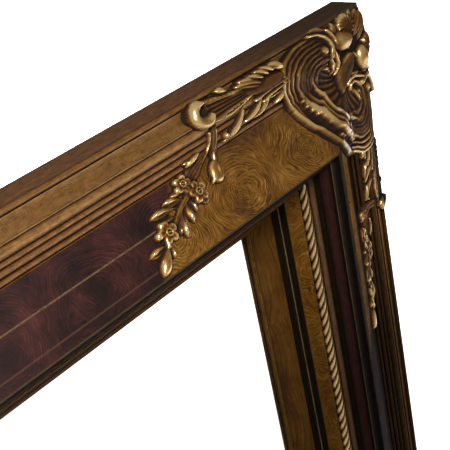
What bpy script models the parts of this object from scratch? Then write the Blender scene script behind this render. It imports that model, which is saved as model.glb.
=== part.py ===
"""Cheval floor mirror: an ornate gilt frame that tilts between two turned posts.

World frame: metres, +Z up, the glass faces -Y, the feet stand on Z = 0 and the tilt axis is
parallel to X. Across a frame member, u runs in from the outer edge and h runs forward from the
back plane. Along a member, a runs from the outer corner.
"""

import math

import bmesh
import bpy
from mathutils import Vector

MM = 0.001
GAP = 0.3 * MM                      # left between pieces that touch
MITRE_GAP = GAP / math.sqrt(2.0)    # taken off each end of a mitred member

# Swinging frame
FRAME_W = 762.0 * MM
FRAME_H = 1524.0 * MM
FLOOR_CLEARANCE = 140.0 * MM
MOULDING_W = 133.0 * MM
RIDGE_U = 83.0 * MM
RIDGE_H = 66.0 * MM
SIDE_H = 36.5 * MM                  # height of the outer arris
SIDE_FOOT_H = 16.0 * MM             # the side is upright down to here and undercut below
BACK_EDGE_U = 7.6 * MM              # undercut of the side at the back
SIGHT_H = 9.0 * MM                  # height of the sight edge
SLIP_U = 113.0 * MM                 # joint between the moulding and the inner slip
PIVOT_ABOVE_CENTRE = 60.0 * MM
PIVOT_H = 19.0 * MM                 # height of the tilt axis over the back plane

# Glass and back
REBATE_U = 127.0 * MM
REBATE_H = 6.0 * MM
GLASS_EDGE_U = 127.5 * MM
GLASS_BACK_H = 0.4 * MM
GLASS_T = 5.0 * MM
GLASS_BEVEL_W = 3.0 * MM
GLASS_BEVEL_T = 1.2 * MM
PANEL_EDGE_U = 100.0 * MM
PANEL_T = 6.0 * MM
SCREW_U = 106.5 * MM
SCREW_R = 2.0 * MM
SCREW_DEPTH = 12.0 * MM
SCREW_RAIL_X = 170.0 * MM
SCREW_STILE_Z = 360.0 * MM

# Twisted rope bead, let into a channel of the inner slope
ROPE_R = 3.45 * MM
ROPE_PLACE = 0.395                  # fraction of the way down the inner slope
ROPE_SINK = 3.1                     # millimetres from the slope down to the bead's centre

# Pivots, outwards from the side of the frame
BOSS_R = 15.0 * MM
BOSS_PROUD = 7.5 * MM               # boss face beyond the frame's outer edge
WASHER_R = 16.0 * MM
WASHER_T = 2.0 * MM
ROSETTE_R = 20.0 * MM
ROSETTE_T = 2.4 * MM
STUD_R = 4.0 * MM
KNOB_BORE_DEPTH = 21.0 * MM

# Stand
POST_HALF = 23.0 * MM
POST_FOOT_Z = 45.0 * MM
POST_TOP_Z = 1000.0 * MM
LEG_REACH = 270.0 * MM
LEG_T = 36.0 * MM
GLIDE_R = 13.0 * MM
GLIDE_T = 5.2 * MM
GLIDE_Y = 243.0 * MM
STRETCHER_Z = 98.0 * MM
BOLT_R = 4.0 * MM
BOLT_REACH = 42.0 * MM              # bolt shank beyond the post's inner face

FRAME_CENTRE_Z = FLOOR_CLEARANCE + FRAME_H / 2
FRAME_TOP_Z = FLOOR_CLEARANCE + FRAME_H
PIVOT_Z = FRAME_CENTRE_Z + PIVOT_ABOVE_CENTRE
BACK_Y = PIVOT_H
SLOPE = Vector((MOULDING_W - RIDGE_U, SIGHT_H - RIDGE_H))
SLOPE_OUT = Vector((-SLOPE.y, SLOPE.x)).normalized()
BOSS_INNER_X = FRAME_W / 2 + GAP
BOSS_FACE_X = FRAME_W / 2 + BOSS_PROUD
POST_INNER_X = BOSS_FACE_X + WASHER_T + 2 * GAP
POST_X = POST_INNER_X + POST_HALF
POST_OUTER_X = POST_X + POST_HALF
KNOB_X = POST_OUTER_X + ROSETTE_T + 2 * GAP

ARC_STEPS = 4
SIDES = {
    # name: (outward direction, run direction, half size outwards, half size along the run)
    "top": (Vector((0, 0, 1)), Vector((1, 0, 0)), FRAME_H / 2, FRAME_W / 2),
    "bottom": (Vector((0, 0, -1)), Vector((1, 0, 0)), FRAME_H / 2, FRAME_W / 2),
    "left": (Vector((-1, 0, 0)), Vector((0, 0, 1)), FRAME_W / 2, FRAME_H / 2),
    "right": (Vector((1, 0, 0)), Vector((0, 0, 1)), FRAME_W / 2, FRAME_H / 2),
}
CORNERS = {
    # name: (rail, its end, stile, its end)
    "top_left": ("top", -1, "left", 1),
    "top_right": ("top", 1, "right", 1),
    "bottom_left": ("bottom", -1, "left", -1),
    "bottom_right": ("bottom", 1, "right", -1),
}


# ---------------------------------------------------------------- general helpers

def clear_scene():
    for obj in list(bpy.data.objects):
        bpy.data.objects.remove(obj, do_unlink=True)


def make_material(name, rgb, roughness, metallic=0.0):
    material = bpy.data.materials.new(name)
    material.use_nodes = True
    shader = material.node_tree.nodes["Principled BSDF"]
    shader.inputs["Base Color"].default_value = (*rgb, 1.0)
    shader.inputs["Roughness"].default_value = roughness
    shader.inputs["Metallic"].default_value = metallic
    material.diffuse_color = (*rgb, 1.0)
    return material


def finish_object(name, bm, material, smooth_angle=None, origin=None):
    """Turn a bmesh into a named object whose faces point outwards."""
    bmesh.ops.recalc_face_normals(bm, faces=bm.faces)
    if bm.calc_volume(signed=True) < 0:
        bmesh.ops.reverse_faces(bm, faces=bm.faces)
    mesh = bpy.data.meshes.new(name)
    place = Vector(origin) if origin is not None else Vector((0, 0, 0))
    bmesh.ops.translate(bm, verts=bm.verts, vec=-place)
    bm.to_mesh(mesh)
    bm.free()
    mesh.materials.append(material)
    if smooth_angle is not None:
        mesh.shade_smooth()
        mesh.set_sharp_from_angle(angle=math.radians(smooth_angle))
    obj = bpy.data.objects.new(name, mesh)
    obj.location = place
    bpy.context.collection.objects.link(obj)
    return obj


def loft(rings, cyclic=False):
    """Skin a list of equal rings; an open loft gets a flat cap on each end."""
    bm = bmesh.new()
    loops = [[bm.verts.new(point) for point in ring] for ring in rings]
    pairs = list(zip(loops, loops[1:]))
    if cyclic:
        pairs.append((loops[-1], loops[0]))
    for first, second in pairs:
        for i in range(len(first)):
            j = (i + 1) % len(first)
            bm.faces.new((first[i], first[j], second[j], second[i]))
    if not cyclic:
        bm.faces.new(list(reversed(loops[0])))
        bm.faces.new(loops[-1])
    return bm


def grid_solid(upper, lower):
    """Close the space between two equal grids of points."""
    bm = bmesh.new()
    top = [[bm.verts.new(point) for point in row] for row in upper]
    low = [[bm.verts.new(point) for point in row] for row in lower]
    rows = len(top)
    cols = len(top[0])
    for r in range(rows - 1):
        for c in range(cols - 1):
            bm.faces.new((top[r][c], top[r][c + 1], top[r + 1][c + 1], top[r + 1][c]))
            bm.faces.new((low[r][c], low[r + 1][c], low[r + 1][c + 1], low[r][c + 1]))
    for r in (0, rows - 1):
        for c in range(cols - 1):
            bm.faces.new((top[r][c], low[r][c], low[r][c + 1], top[r][c + 1]))
    for c in (0, cols - 1):
        for r in range(rows - 1):
            bm.faces.new((top[r][c], top[r + 1][c], low[r + 1][c], low[r][c]))
    return bm


def turned_x(stations, sides, centre_y, centre_z, direction=1, cyclic=False):
    """A body turned about an axis parallel to X; stations are (x, radius)."""
    rings = []
    for x, radius in stations:
        ring = []
        for k in range(sides):
            angle = math.tau * k / sides
            ring.append((direction * x, centre_y + radius * math.cos(angle),
                         centre_z + radius * math.sin(angle)))
        rings.append(ring)
    return loft(rings, cyclic)


def turned_y(stations, sides, centre_x, centre_z, cyclic=False):
    """A body turned about an axis parallel to Y; stations are (y, radius)."""
    rings = []
    for y, radius in stations:
        ring = []
        for k in range(sides):
            angle = math.tau * k / sides
            ring.append((centre_x + radius * math.cos(angle), y,
                         centre_z + radius * math.sin(angle)))
        rings.append(ring)
    return loft(rings, cyclic)


def turned_z(stations, sides, centre_x, centre_y):
    """A body turned about a vertical axis; stations are (z, radius)."""
    rings = []
    for z, radius in stations:
        ring = []
        for k in range(sides):
            angle = math.tau * k / sides
            ring.append((centre_x + radius * math.cos(angle),
                         centre_y + radius * math.sin(angle), z))
        rings.append(ring)
    return loft(rings)


def bulged(points, steps=ARC_STEPS):
    """Expand (u, h, rise) points: a rise bows the run to the next point into an arc."""
    outline = []
    for k, (u, h, rise) in enumerate(points):
        start = Vector((u, h))
        outline.append(start)
        if rise == 0 or k + 1 == len(points):
            continue
        end = Vector(points[k + 1][:2])
        chord = end - start
        half = chord.length / 2
        radius = (half * half + rise * rise) / (2 * abs(rise))
        side = Vector((-chord.y, chord.x)).normalized() * math.copysign(1.0, rise)
        centre = (start + end) / 2 - side * (radius - abs(rise))
        sweep = math.atan2(half, radius - abs(rise))
        along = chord.normalized()
        for step in range(1, steps):
            angle = -sweep + 2 * sweep * step / steps
            outline.append(centre + side * radius * math.cos(angle)
                           + along * radius * math.sin(angle))
    return outline


def cut_with(obj, cutter):
    """Subtract a helper body from an object."""
    cutter.hide_render = True
    cutter.display_type = 'WIRE'
    modifier = obj.modifiers.new("cut_" + cutter.name, 'BOOLEAN')
    modifier.operation = 'DIFFERENCE'
    modifier.solver = 'EXACT'
    modifier.object = cutter


# ---------------------------------------------------------------- materials

def make_materials():
    return {
        "gilt": make_material("antique_gold_leaf", (0.33, 0.18, 0.05), 0.38, 0.55),
        "slip": make_material("gold_slip", (0.20, 0.10, 0.025), 0.42, 0.5),
        "ornament": make_material("gilt_ornament", (0.45, 0.27, 0.09), 0.3, 0.75),
        "rope": make_material("gilt_rope", (0.40, 0.24, 0.09), 0.32, 0.7),
        "glass": make_material("mirror_silver", (0.90, 0.91, 0.92), 0.02, 1.0),
        "board": make_material("plywood_back", (0.36, 0.24, 0.13), 0.75),
        "walnut": make_material("dark_walnut", (0.075, 0.038, 0.02), 0.4),
        "brass": make_material("antique_brass", (0.42, 0.28, 0.10), 0.32, 1.0),
        "steel": make_material("zinc_steel", (0.55, 0.55, 0.54), 0.35, 1.0),
        "felt": make_material("felt_washer", (0.03, 0.025, 0.02), 0.95),
        "rubber": make_material("rubber_glide", (0.03, 0.03, 0.03), 0.8),
    }


# ---------------------------------------------------------------- frame mouldings

def on_slope(fraction, rise=0.0):
    """A point on the inner slope, raised from it by rise millimetres."""
    point = Vector((RIDGE_U, RIDGE_H)) + SLOPE * fraction + SLOPE_OUT * rise * MM
    return (point.x, point.y, 0.0)


def rope_groove():
    """Round-bottomed channel for the rope bead in the inner slope."""
    radius = ROPE_R + GAP
    half = radius / SLOPE.length
    centre = Vector(on_slope(ROPE_PLACE, -ROPE_SINK)[:2])
    along = SLOPE.normalized()
    points = [on_slope(ROPE_PLACE - half)]
    for k in range(7):
        angle = math.pi * k / 6
        point = centre - along * radius * math.cos(angle) - SLOPE_OUT * radius * math.sin(angle)
        points.append((point.x, point.y, 0.0))
    points.append(on_slope(ROPE_PLACE + half))
    return points


def moulding_outline():
    """Closed cross-section of the rails and stiles, from the back edge over the ridge."""
    outer_mm = [
        (0.0, 37.4, 2.1), (4.2, 37.6, 0),                       # bead on the outer edge
        (5.4, 38.2, -1.7), (15.5, 44.2, 0), (16.4, 44.2, 0),    # cove and its lip
        (17.2, 43.0, 0), (17.5, 43.0, 1.95), (25.0, 42.8, 0),   # torus
        (25.4, 42.4, 0), (25.8, 42.6, 0.95), (29.2, 42.5, 0),   # first fillet
        (29.7, 42.0, 0), (30.2, 42.2, 1.1), (34.4, 42.0, 0),    # second fillet
        (35.0, 41.4, 0), (35.8, 41.6, 0.9), (39.2, 41.4, 0),    # third fillet
        (39.7, 40.9, 0), (40.2, 41.6, 0),                       # foot of the wide panel
    ]
    points = [(BACK_EDGE_U, 0.0, 0), (0.0, SIDE_FOOT_H, 0), (0.0, SIDE_H, 0)]
    points += [(u * MM, h * MM, rise * MM) for u, h, rise in outer_mm]
    points.append((RIDGE_U, RIDGE_H, 0))
    points += [on_slope(0.095), on_slope(0.114, -0.8), on_slope(0.124), on_slope(0.229),
               on_slope(0.238, -1.5), on_slope(0.276, -1.5), on_slope(0.286, -0.3)]
    points += rope_groove()
    points.append(on_slope((SLIP_U - RIDGE_U) / (MOULDING_W - RIDGE_U)))
    points.append((SLIP_U, 0.0, 0))
    return bulged(points)


def slip_outline():
    """Closed cross-section of the inner slip, with the rebate for the glass."""
    joint_u = SLIP_U + GAP
    start = (joint_u - RIDGE_U) / (MOULDING_W - RIDGE_U)
    points = [(joint_u, 0.0, 0), on_slope(start), on_slope(0.634, -1.4), on_slope(0.650, -1.4),
              on_slope(0.661), on_slope(0.673), on_slope(0.684, -1.2), on_slope(0.730, -1.2),
              on_slope(0.745), on_slope(1.0)]
    points += [(MOULDING_W, REBATE_H, 0), (REBATE_U, REBATE_H, 0), (REBATE_U, 0.0, 0)]
    return bulged(points)


def side_point(side, run, u, h):
    """World point on a frame member: run is the distance along it from its middle."""
    outward, along, half_out, _half_run = SIDES[side]
    point = outward * (half_out - u) + along * run
    return Vector((point.x, BACK_Y - h, FRAME_CENTRE_Z + point.z))


def mitred_member(name, side, outline, material):
    """One side of the frame, cut at 45 degrees on both ends."""
    half_run = SIDES[side][3]
    rings = []
    for end in (-1, 1):
        ring = [side_point(side, end * (half_run - p.x - MITRE_GAP), p.x, p.y) for p in outline]
        rings.append(ring)
    return finish_object(name, loft(rings), material, smooth_angle=35)


def screw_places():
    """Centres of the back-panel screws as (side, run)."""
    places = []
    for side in ("top", "bottom"):
        places += [(side, -SCREW_RAIL_X), (side, SCREW_RAIL_X)]
    for side in ("left", "right"):
        places += [(side, -SCREW_STILE_Z), (side, SCREW_STILE_Z)]
    return places


def drill_pilot_holes(member, side):
    """Blind holes in the back of a member for its panel screws."""
    for screw_side, run in screw_places():
        if screw_side != side:
            continue
        centre = side_point(side, run, SCREW_U, 0.0)
        radius = SCREW_R + GAP
        stations = [(centre.y - SCREW_DEPTH - 1.0 * MM, radius), (centre.y + 2.0 * MM, radius)]
        bm = turned_y(stations, 10, centre.x, centre.z)
        cutter = finish_object("pilot_%s_%d" % (side, round(run / MM)), bm, member.data.materials[0])
        cut_with(member, cutter)


def build_mouldings(materials):
    outline = moulding_outline()
    for side in SIDES:
        kind = "rail" if side in ("top", "bottom") else "stile"
        member = mitred_member("frame_%s_%s" % (kind, side), side, outline, materials["gilt"])
        drill_pilot_holes(member, side)


def build_slips(materials):
    outline = slip_outline()
    for side in SIDES:
        mitred_member("inner_slip_" + side, side, outline, materials["slip"])


def build_ropes(materials):
    centre = Vector(on_slope(ROPE_PLACE, -ROPE_SINK)[:2])
    outline = []
    for k in range(10):
        angle = math.tau * k / 10
        outline.append(centre + Vector((math.cos(angle), math.sin(angle))) * ROPE_R)
    for side in SIDES:
        mitred_member("rope_bead_" + side, side, outline, materials["rope"])


# ---------------------------------------------------------------- applied ornament

# Highest line that touches the mouldings on the outer slope, as (u, h) in millimetres
ENVELOPE_MM = [(-3.0, 38.4), (0.5, 39.9), (15.5, 44.7), (21.2, 45.3), (27.5, 44.1), (32.3, 43.7),
               (37.5, 42.9), (40.2, 42.2), (83.0, 66.4)]


# Where the spray's places on a rail fall on a stile: along it, then across it, in millimetres
STILE_REACH_MM = [(104, 104), (204, 168), (213, 180), (272, 259)]
STILE_ACROSS_MM = [(-3, -3), (29, 29), (81, 54)]


def envelope_point(u, lift):
    """Point lifted off the outer slope along the slope's own normal, as (u, h)."""
    for (u0, h0), (u1, h1) in zip(ENVELOPE_MM, ENVELOPE_MM[1:]):
        if u * 1000 <= u1 or (u1, h1) == ENVELOPE_MM[-1]:
            share = (u * 1000 - u0) / (u1 - u0)
            height = (h0 + (h1 - h0) * share) * MM
            break
    lean = 0.0 if u < 36 * MM else 0.35
    return u - lift * lean * 0.7, height + lift


def ornament_height(share, peak, edge):
    """Domed cross-section: edge at both ends and peak in the middle."""
    return edge + (peak - edge) * math.sin(math.pi * share)


def cartouche_grids(corner):
    """Upper and lower grids of the shell cartouche that straddles a mitre."""
    rail, rail_end, stile, stile_end = CORNERS[corner]
    rows_mm = [
        # u, reach beyond the mitre, height of relief
        (-2.5, 44.0, 3.0), (6.0, 84.0, 5.5), (15.5, 86.0, 6.5), (24.0, 82.0, 7.0),
        (33.0, 73.0, 6.5), (40.2, 64.0, 6.0), (52.8, 43.0, 5.5), (61.0, 31.0, 4.5),
        (69.3, 16.0, 3.5), (77.5, 5.0, 2.5),
    ]
    columns = 4
    upper = []
    lower = []
    for u_mm, reach_mm, peak_mm in rows_mm:
        for grid, lifted in ((upper, True), (lower, False)):
            row = []
            for k in range(-columns, columns + 1):
                side, end = (rail, rail_end) if k < 0 else (stile, stile_end)
                share = abs(k) / columns
                rise = ornament_height(0.5 + share / 2, peak_mm, 1.2) * MM if lifted else 0.0
                u, h = envelope_point(u_mm * MM, rise + GAP)
                run = SIDES[side][3] - u - reach_mm * MM * share
                row.append(side_point(side, end * run, u, h))
            grid.append(row)
    return upper, lower


def build_cartouches(materials):
    for corner in CORNERS:
        upper, lower = cartouche_grids(corner)
        finish_object("corner_cartouche_" + corner, grid_solid(upper, lower),
                      materials["ornament"])


def between(value, pairs):
    """Linear interpolation through (from, to) pairs."""
    for (x0, y0), (x1, y1) in zip(pairs, pairs[1:]):
        if value <= x1 or (x1, y1) == pairs[-1]:
            return y0 + (y1 - y0) * (value - x0) / (x1 - x0)


def build_spray(name, side, end, material):
    """Scrolled acanthus arm with its hanging spray of flowers, beside one corner."""
    rows_mm = [
        # u, nearest and furthest distance from the corner, height of relief
        (1.5, 182, 204, 3.5), (8.0, 132, 207, 5.0), (15.5, 110, 208, 6.0), (21.2, 108, 206, 6.5),
        (27.5, 112, 202, 6.5), (33.0, 118, 200, 5.5), (38.6, 168, 211, 4.5),
        (44.5, 183, 222, 5.0), (52.5, 186, 226, 5.0), (60.0, 208, 250, 4.5),
        (67.0, 226, 263, 4.5), (74.0, 247, 266, 4.0), (78.5, 253, 264, 2.5),
    ]
    columns = 4
    upper = []
    lower = []
    for u_mm, near_mm, far_mm, peak_mm in rows_mm:
        if side in ("left", "right"):
            u_mm = between(u_mm, STILE_ACROSS_MM)
            near_mm = between(near_mm, STILE_REACH_MM)
            far_mm = between(far_mm, STILE_REACH_MM)
        top_row = []
        low_row = []
        for k in range(columns + 1):
            share = k / columns
            distance = (near_mm + (far_mm - near_mm) * share) * MM
            run = end * (SIDES[side][3] - distance)
            rise = ornament_height(share, peak_mm, 1.2) * MM
            top_row.append(side_point(side, run, *envelope_point(u_mm * MM, rise + GAP)))
            low_row.append(side_point(side, run, *envelope_point(u_mm * MM, GAP)))
        upper.append(top_row)
        lower.append(low_row)
    finish_object(name, grid_solid(upper, lower), material)


def build_sprays(materials):
    for corner, (rail, rail_end, stile, stile_end) in CORNERS.items():
        build_spray("rail_spray_" + corner, rail, rail_end, materials["ornament"])
        build_spray("stile_spray_" + corner, stile, stile_end, materials["ornament"])


# ---------------------------------------------------------------- glass and back

def rectangle(edge_u, h):
    """Corners of a rectangle parallel to the glass, edge_u in from the frame's outer edge."""
    half_x = FRAME_W / 2 - edge_u
    half_z = FRAME_H / 2 - edge_u
    return [(x * half_x, BACK_Y - h, FRAME_CENTRE_Z + z * half_z)
            for x, z in ((-1, -1), (1, -1), (1, 1), (-1, 1))]


def build_glass(materials):
    front = GLASS_BACK_H + GLASS_T
    rings = [rectangle(GLASS_EDGE_U, GLASS_BACK_H),
             rectangle(GLASS_EDGE_U, front - GLASS_BEVEL_T),
             rectangle(GLASS_EDGE_U + GLASS_BEVEL_W, front)]
    finish_object("mirror_glass", loft(rings), materials["glass"])


def build_back_panel(materials):
    chamfer = 1.0 * MM
    rings = [rectangle(PANEL_EDGE_U, -GAP),
             rectangle(PANEL_EDGE_U, -GAP - PANEL_T + chamfer),
             rectangle(PANEL_EDGE_U + chamfer, -GAP - PANEL_T)]
    panel = finish_object("back_panel", loft(rings), materials["board"])
    for side, run in screw_places():
        centre = side_point(side, run, SCREW_U, 0.0)
        radius = SCREW_R + GAP
        stations = [(centre.y - 5.0 * MM, radius), (centre.y + 2 * PANEL_T, radius)]
        cutter = finish_object("clearance_%s_%d" % (side, round(run / MM)),
                               turned_y(stations, 10, centre.x, centre.z), materials["board"])
        cut_with(panel, cutter)


def build_screws(materials):
    """Pan-head screws through the back panel."""
    seat = BACK_Y + 2 * GAP + PANEL_T
    tip = BACK_Y - SCREW_DEPTH
    stations = [(tip, 0.5 * MM), (tip + 3.0 * MM, SCREW_R), (seat, SCREW_R), (seat, 4.2 * MM),
                (seat + 1.6 * MM, 3.9 * MM), (seat + 2.4 * MM, 2.4 * MM)]
    for number, (side, run) in enumerate(screw_places(), start=1):
        centre = side_point(side, run, SCREW_U, 0.0)
        finish_object("back_screw_%d" % number, turned_y(stations, 10, centre.x, centre.z),
                      materials["steel"], smooth_angle=40, origin=(centre.x, seat, centre.z))


# ---------------------------------------------------------------- pivots

def build_boss(name, direction, material):
    """Threaded boss on the upright part of the frame's side."""
    sides = 20
    bore = STUD_R + GAP
    rings = []
    for radius, x in ((BOSS_R, BOSS_INNER_X), (BOSS_R, BOSS_FACE_X), (bore, BOSS_FACE_X),
                      (bore, BOSS_INNER_X)):
        ring = []
        for k in range(sides):
            angle = math.tau * k / sides
            y = radius * math.cos(angle)
            ring.append((direction * x, y, PIVOT_Z + radius * math.sin(angle)))
        rings.append(ring)
    finish_object(name, loft(rings, cyclic=True), material, smooth_angle=40,
                  origin=(direction * BOSS_FACE_X, 0.0, PIVOT_Z))


def ring_stations(inner_x, thickness, radius, bore, round_off):
    """Stations of a flat ring with an eased outer edge."""
    return [(inner_x, bore), (inner_x, radius), (inner_x + thickness - round_off, radius),
            (inner_x + thickness, radius - round_off), (inner_x + thickness, bore)]


def knob_stations():
    """Turned clamp knob with a blind bore for the stud."""
    bore = STUD_R + GAP
    shape_mm = [(0.0, 9.0), (3.0, 9.6), (5.0, 8.0), (9.0, 6.6), (12.0, 8.0), (15.0, 14.0),
                (19.0, 17.2), (24.0, 18.0), (29.0, 16.2), (32.5, 11.0), (34.0, 4.0)]
    stations = [(KNOB_X + KNOB_BORE_DEPTH, bore * 0.6), (KNOB_X + KNOB_BORE_DEPTH, bore),
                (KNOB_X, bore)]
    return stations + [(KNOB_X + x * MM, radius * MM) for x, radius in shape_mm]


def build_pivots(materials):
    stud_tip = KNOB_X + KNOB_BORE_DEPTH - 2 * GAP
    stud = [(BOSS_INNER_X, STUD_R - 0.6 * MM), (BOSS_INNER_X + 0.6 * MM, STUD_R),
            (stud_tip - 0.8 * MM, STUD_R), (stud_tip, STUD_R - 0.8 * MM)]
    bore = STUD_R + 0.5 * MM
    washer = ring_stations(BOSS_FACE_X + GAP, WASHER_T, WASHER_R, bore, 0.3 * MM)
    rosette = ring_stations(POST_OUTER_X + GAP, ROSETTE_T, ROSETTE_R, bore, 1.2 * MM)
    axis = (0.0, PIVOT_Z)
    for hand, direction in (("left", -1), ("right", 1)):
        build_boss("pivot_boss_" + hand, direction, materials["brass"])
        finish_object("pivot_stud_" + hand, turned_x(stud, 14, *axis, direction),
                      materials["steel"], 40, (direction * POST_X, 0.0, PIVOT_Z))
        finish_object("pivot_washer_" + hand, turned_x(washer, 20, *axis, direction, True),
                      materials["felt"], 40, (direction * POST_INNER_X, 0.0, PIVOT_Z))
        finish_object("pivot_rosette_" + hand, turned_x(rosette, 24, *axis, direction, True),
                      materials["brass"], 40, (direction * POST_OUTER_X, 0.0, PIVOT_Z))
        finish_object("clamp_knob_" + hand, turned_x(knob_stations(), 20, *axis, direction),
                      materials["brass"], 40, (direction * KNOB_X, 0.0, PIVOT_Z))


# ---------------------------------------------------------------- stand

def post_ring(z, half, square, centre_x):
    """Sixteen points round a post: a circle, or a square with the same half width."""
    ring = []
    for k in range(16):
        angle = math.tau * k / 16
        reach = half
        if square:
            reach = half / max(abs(math.cos(angle)), abs(math.sin(angle)))
        ring.append((centre_x + reach * math.cos(angle), reach * math.sin(angle), z))
    return ring


def post_stations():
    """Post profile from the foot block to the pivot block: (z, half width, square)."""
    turned_mm = [
        (172, 17), (176, 21), (182, 21), (186, 16), (192, 15), (214, 20), (244, 21.5),
        (286, 17), (318, 12.5), (324, 17), (334, 17), (340, 13), (360, 14.5), (560, 17.5),
        (760, 15.5), (850, 12.5), (856, 17), (866, 17), (870, 12.5), (884, 15), (904, 20.5),
        (912, 20.5), (917, 18),
    ]
    half_mm = POST_HALF / MM
    stations = [(POST_FOOT_Z / MM, half_mm - 2, True), (POST_FOOT_Z / MM + 2, half_mm, True),
                (165, half_mm, True)]
    stations += [(z, half, False) for z, half in turned_mm]
    stations += [(925, half_mm, True), (POST_TOP_Z / MM - 4, half_mm, True),
                 (POST_TOP_Z / MM, half_mm - 4, True)]
    return [(z * MM, half * MM, square) for z, half, square in stations]


def build_posts(materials):
    for hand, direction in (("left", -1), ("right", 1)):
        centre_x = direction * POST_X
        rings = [post_ring(z, half, square, centre_x) for z, half, square in post_stations()]
        post = finish_object("post_" + hand, loft(rings), materials["walnut"], 30,
                             (centre_x, 0.0, POST_FOOT_Z))
        reach = POST_HALF + 10 * MM
        for label, z, radius in (("pivot", PIVOT_Z, STUD_R + 1.0 * MM),
                                 ("bolt", STRETCHER_Z, BOLT_R + 0.5 * MM)):
            stations = [(POST_X - reach, radius), (POST_X + reach, radius)]
            cutter = finish_object("%s_hole_%s" % (label, hand),
                                   turned_x(stations, 14, 0.0, z, direction),
                                   materials["walnut"])
            cut_with(post, cutter)


def build_finials(materials):
    shape_mm = [(0, 16), (5, 17), (9, 14), (14, 8.5), (20, 11), (30, 18), (44, 21.5), (58, 19.5),
                (70, 11), (76, 8.5), (81, 11.5), (88, 12), (96, 8.5), (105, 3.5), (109, 1.2)]
    stations = [(POST_TOP_Z + GAP + z * MM, radius * MM) for z, radius in shape_mm]
    for hand, direction in (("left", -1), ("right", 1)):
        finish_object("finial_" + hand, turned_z(stations, 16, direction * POST_X, 0.0),
                      materials["walnut"], 50, (direction * POST_X, 0.0, POST_TOP_Z))


def bezier(p0, p1, p2, p3, steps):
    """Points of a cubic curve, without its last point."""
    points = []
    for k in range(steps):
        t = k / steps
        s = 1.0 - t
        weights = (s ** 3, 3 * s * s * t, 3 * s * t * t, t ** 3)
        points.append(tuple(sum(w * p[i] for w, p in zip(weights, (p0, p1, p2, p3)))
                            for i in (0, 1)))
    return points


def leg_outline():
    """Side view of a leg as (distance from the post's axis, height)."""
    root = POST_HALF / MM + GAP / MM
    reach = LEG_REACH / MM
    sole = GLIDE_T / MM + GAP / MM
    outline = bezier((root, 158), (95, 160), (120, 98), (178, 68), 7)
    outline += bezier((178, 68), (205, 55), (222, 44), (244, 45), 4)
    outline += bezier((244, 45), (reach + 2, 46), (reach + 3, 24), (reach - 6, sole), 5)
    outline += [(reach - 6, sole), (226, sole)]
    outline += bezier((214, 16), (190, 30), (150, 48), (118, 66), 5)
    outline += bezier((118, 66), (90, 82), (64, 62), (root, 54), 5)
    outline.append((root, 54))
    return [(y * MM, z * MM) for y, z in outline]


def build_legs(materials):
    outline = leg_outline()
    for hand, direction in (("left", -1), ("right", 1)):
        for place, facing in (("front", -1), ("back", 1)):
            rings = []
            for x in (POST_X - LEG_T / 2, POST_X + LEG_T / 2):
                rings.append([(direction * x, facing * y, z) for y, z in outline])
            finish_object("leg_%s_%s" % (place, hand), loft(rings), materials["walnut"], 30,
                          (direction * POST_X, facing * POST_HALF, STRETCHER_Z))
            stations = [(0.0, GLIDE_R - 1.5 * MM), (1.5 * MM, GLIDE_R), (GLIDE_T, GLIDE_R)]
            finish_object("glide_%s_%s" % (place, hand),
                          turned_z(stations, 16, direction * POST_X, facing * GLIDE_Y),
                          materials["rubber"], 40, (direction * POST_X, facing * GLIDE_Y, 0.0))


def build_stretcher(materials):
    """Turned bar between the posts, bored at each end for its bolt."""
    bore = BOLT_R + 0.5 * MM
    end_x = POST_INNER_X - GAP
    half_mm = [(0, 11), (4, 13), (9, 13), (13, 9.5), (20, 9), (60, 12.5), (150, 12), (230, 9.5),
               (236, 13), (246, 13), (252, 10), (300, 14.5), (335, 16.5), (372, 10.5), (378, 14.5)]
    half = [(end_x - BOLT_REACH - 4 * MM, bore * 0.6), (end_x - BOLT_REACH - 4 * MM, bore),
            (end_x, bore)]
    half += [(end_x - x * MM, radius * MM) for x, radius in half_mm]
    stations = half + [(-x, radius) for x, radius in reversed(half)]
    finish_object("stretcher", turned_x(stations, 14, 0.0, STRETCHER_Z), materials["walnut"], 40,
                  (0.0, 0.0, STRETCHER_Z))


def build_bolts(materials):
    """Domed bolts that clamp the posts to the stretcher."""
    face = POST_OUTER_X + GAP
    stations = [(POST_INNER_X - BOLT_REACH, BOLT_R - 0.8 * MM),
                (POST_INNER_X - BOLT_REACH + 0.8 * MM, BOLT_R), (face, BOLT_R),
                (face, 11.0 * MM), (face + 2.0 * MM, 11.0 * MM), (face + 3.0 * MM, 9.0 * MM),
                (face + 6.0 * MM, 7.6 * MM), (face + 8.0 * MM, 3.5 * MM)]
    for hand, direction in (("left", -1), ("right", 1)):
        finish_object("stretcher_bolt_" + hand,
                      turned_x(stations, 16, 0.0, STRETCHER_Z, direction),
                      materials["brass"], 40, (direction * POST_OUTER_X, 0.0, STRETCHER_Z))


# ---------------------------------------------------------------- assembly

def main():
    clear_scene()
    materials = make_materials()
    build_mouldings(materials)
    build_slips(materials)
    build_ropes(materials)
    build_cartouches(materials)
    build_sprays(materials)
    build_glass(materials)
    build_back_panel(materials)
    build_screws(materials)
    build_pivots(materials)
    build_posts(materials)
    build_finials(materials)
    build_legs(materials)
    build_stretcher(materials)
    build_bolts(materials)


main()
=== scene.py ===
import math

import bmesh
import bpy
import numpy as np
from mathutils import Matrix, Vector


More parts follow.
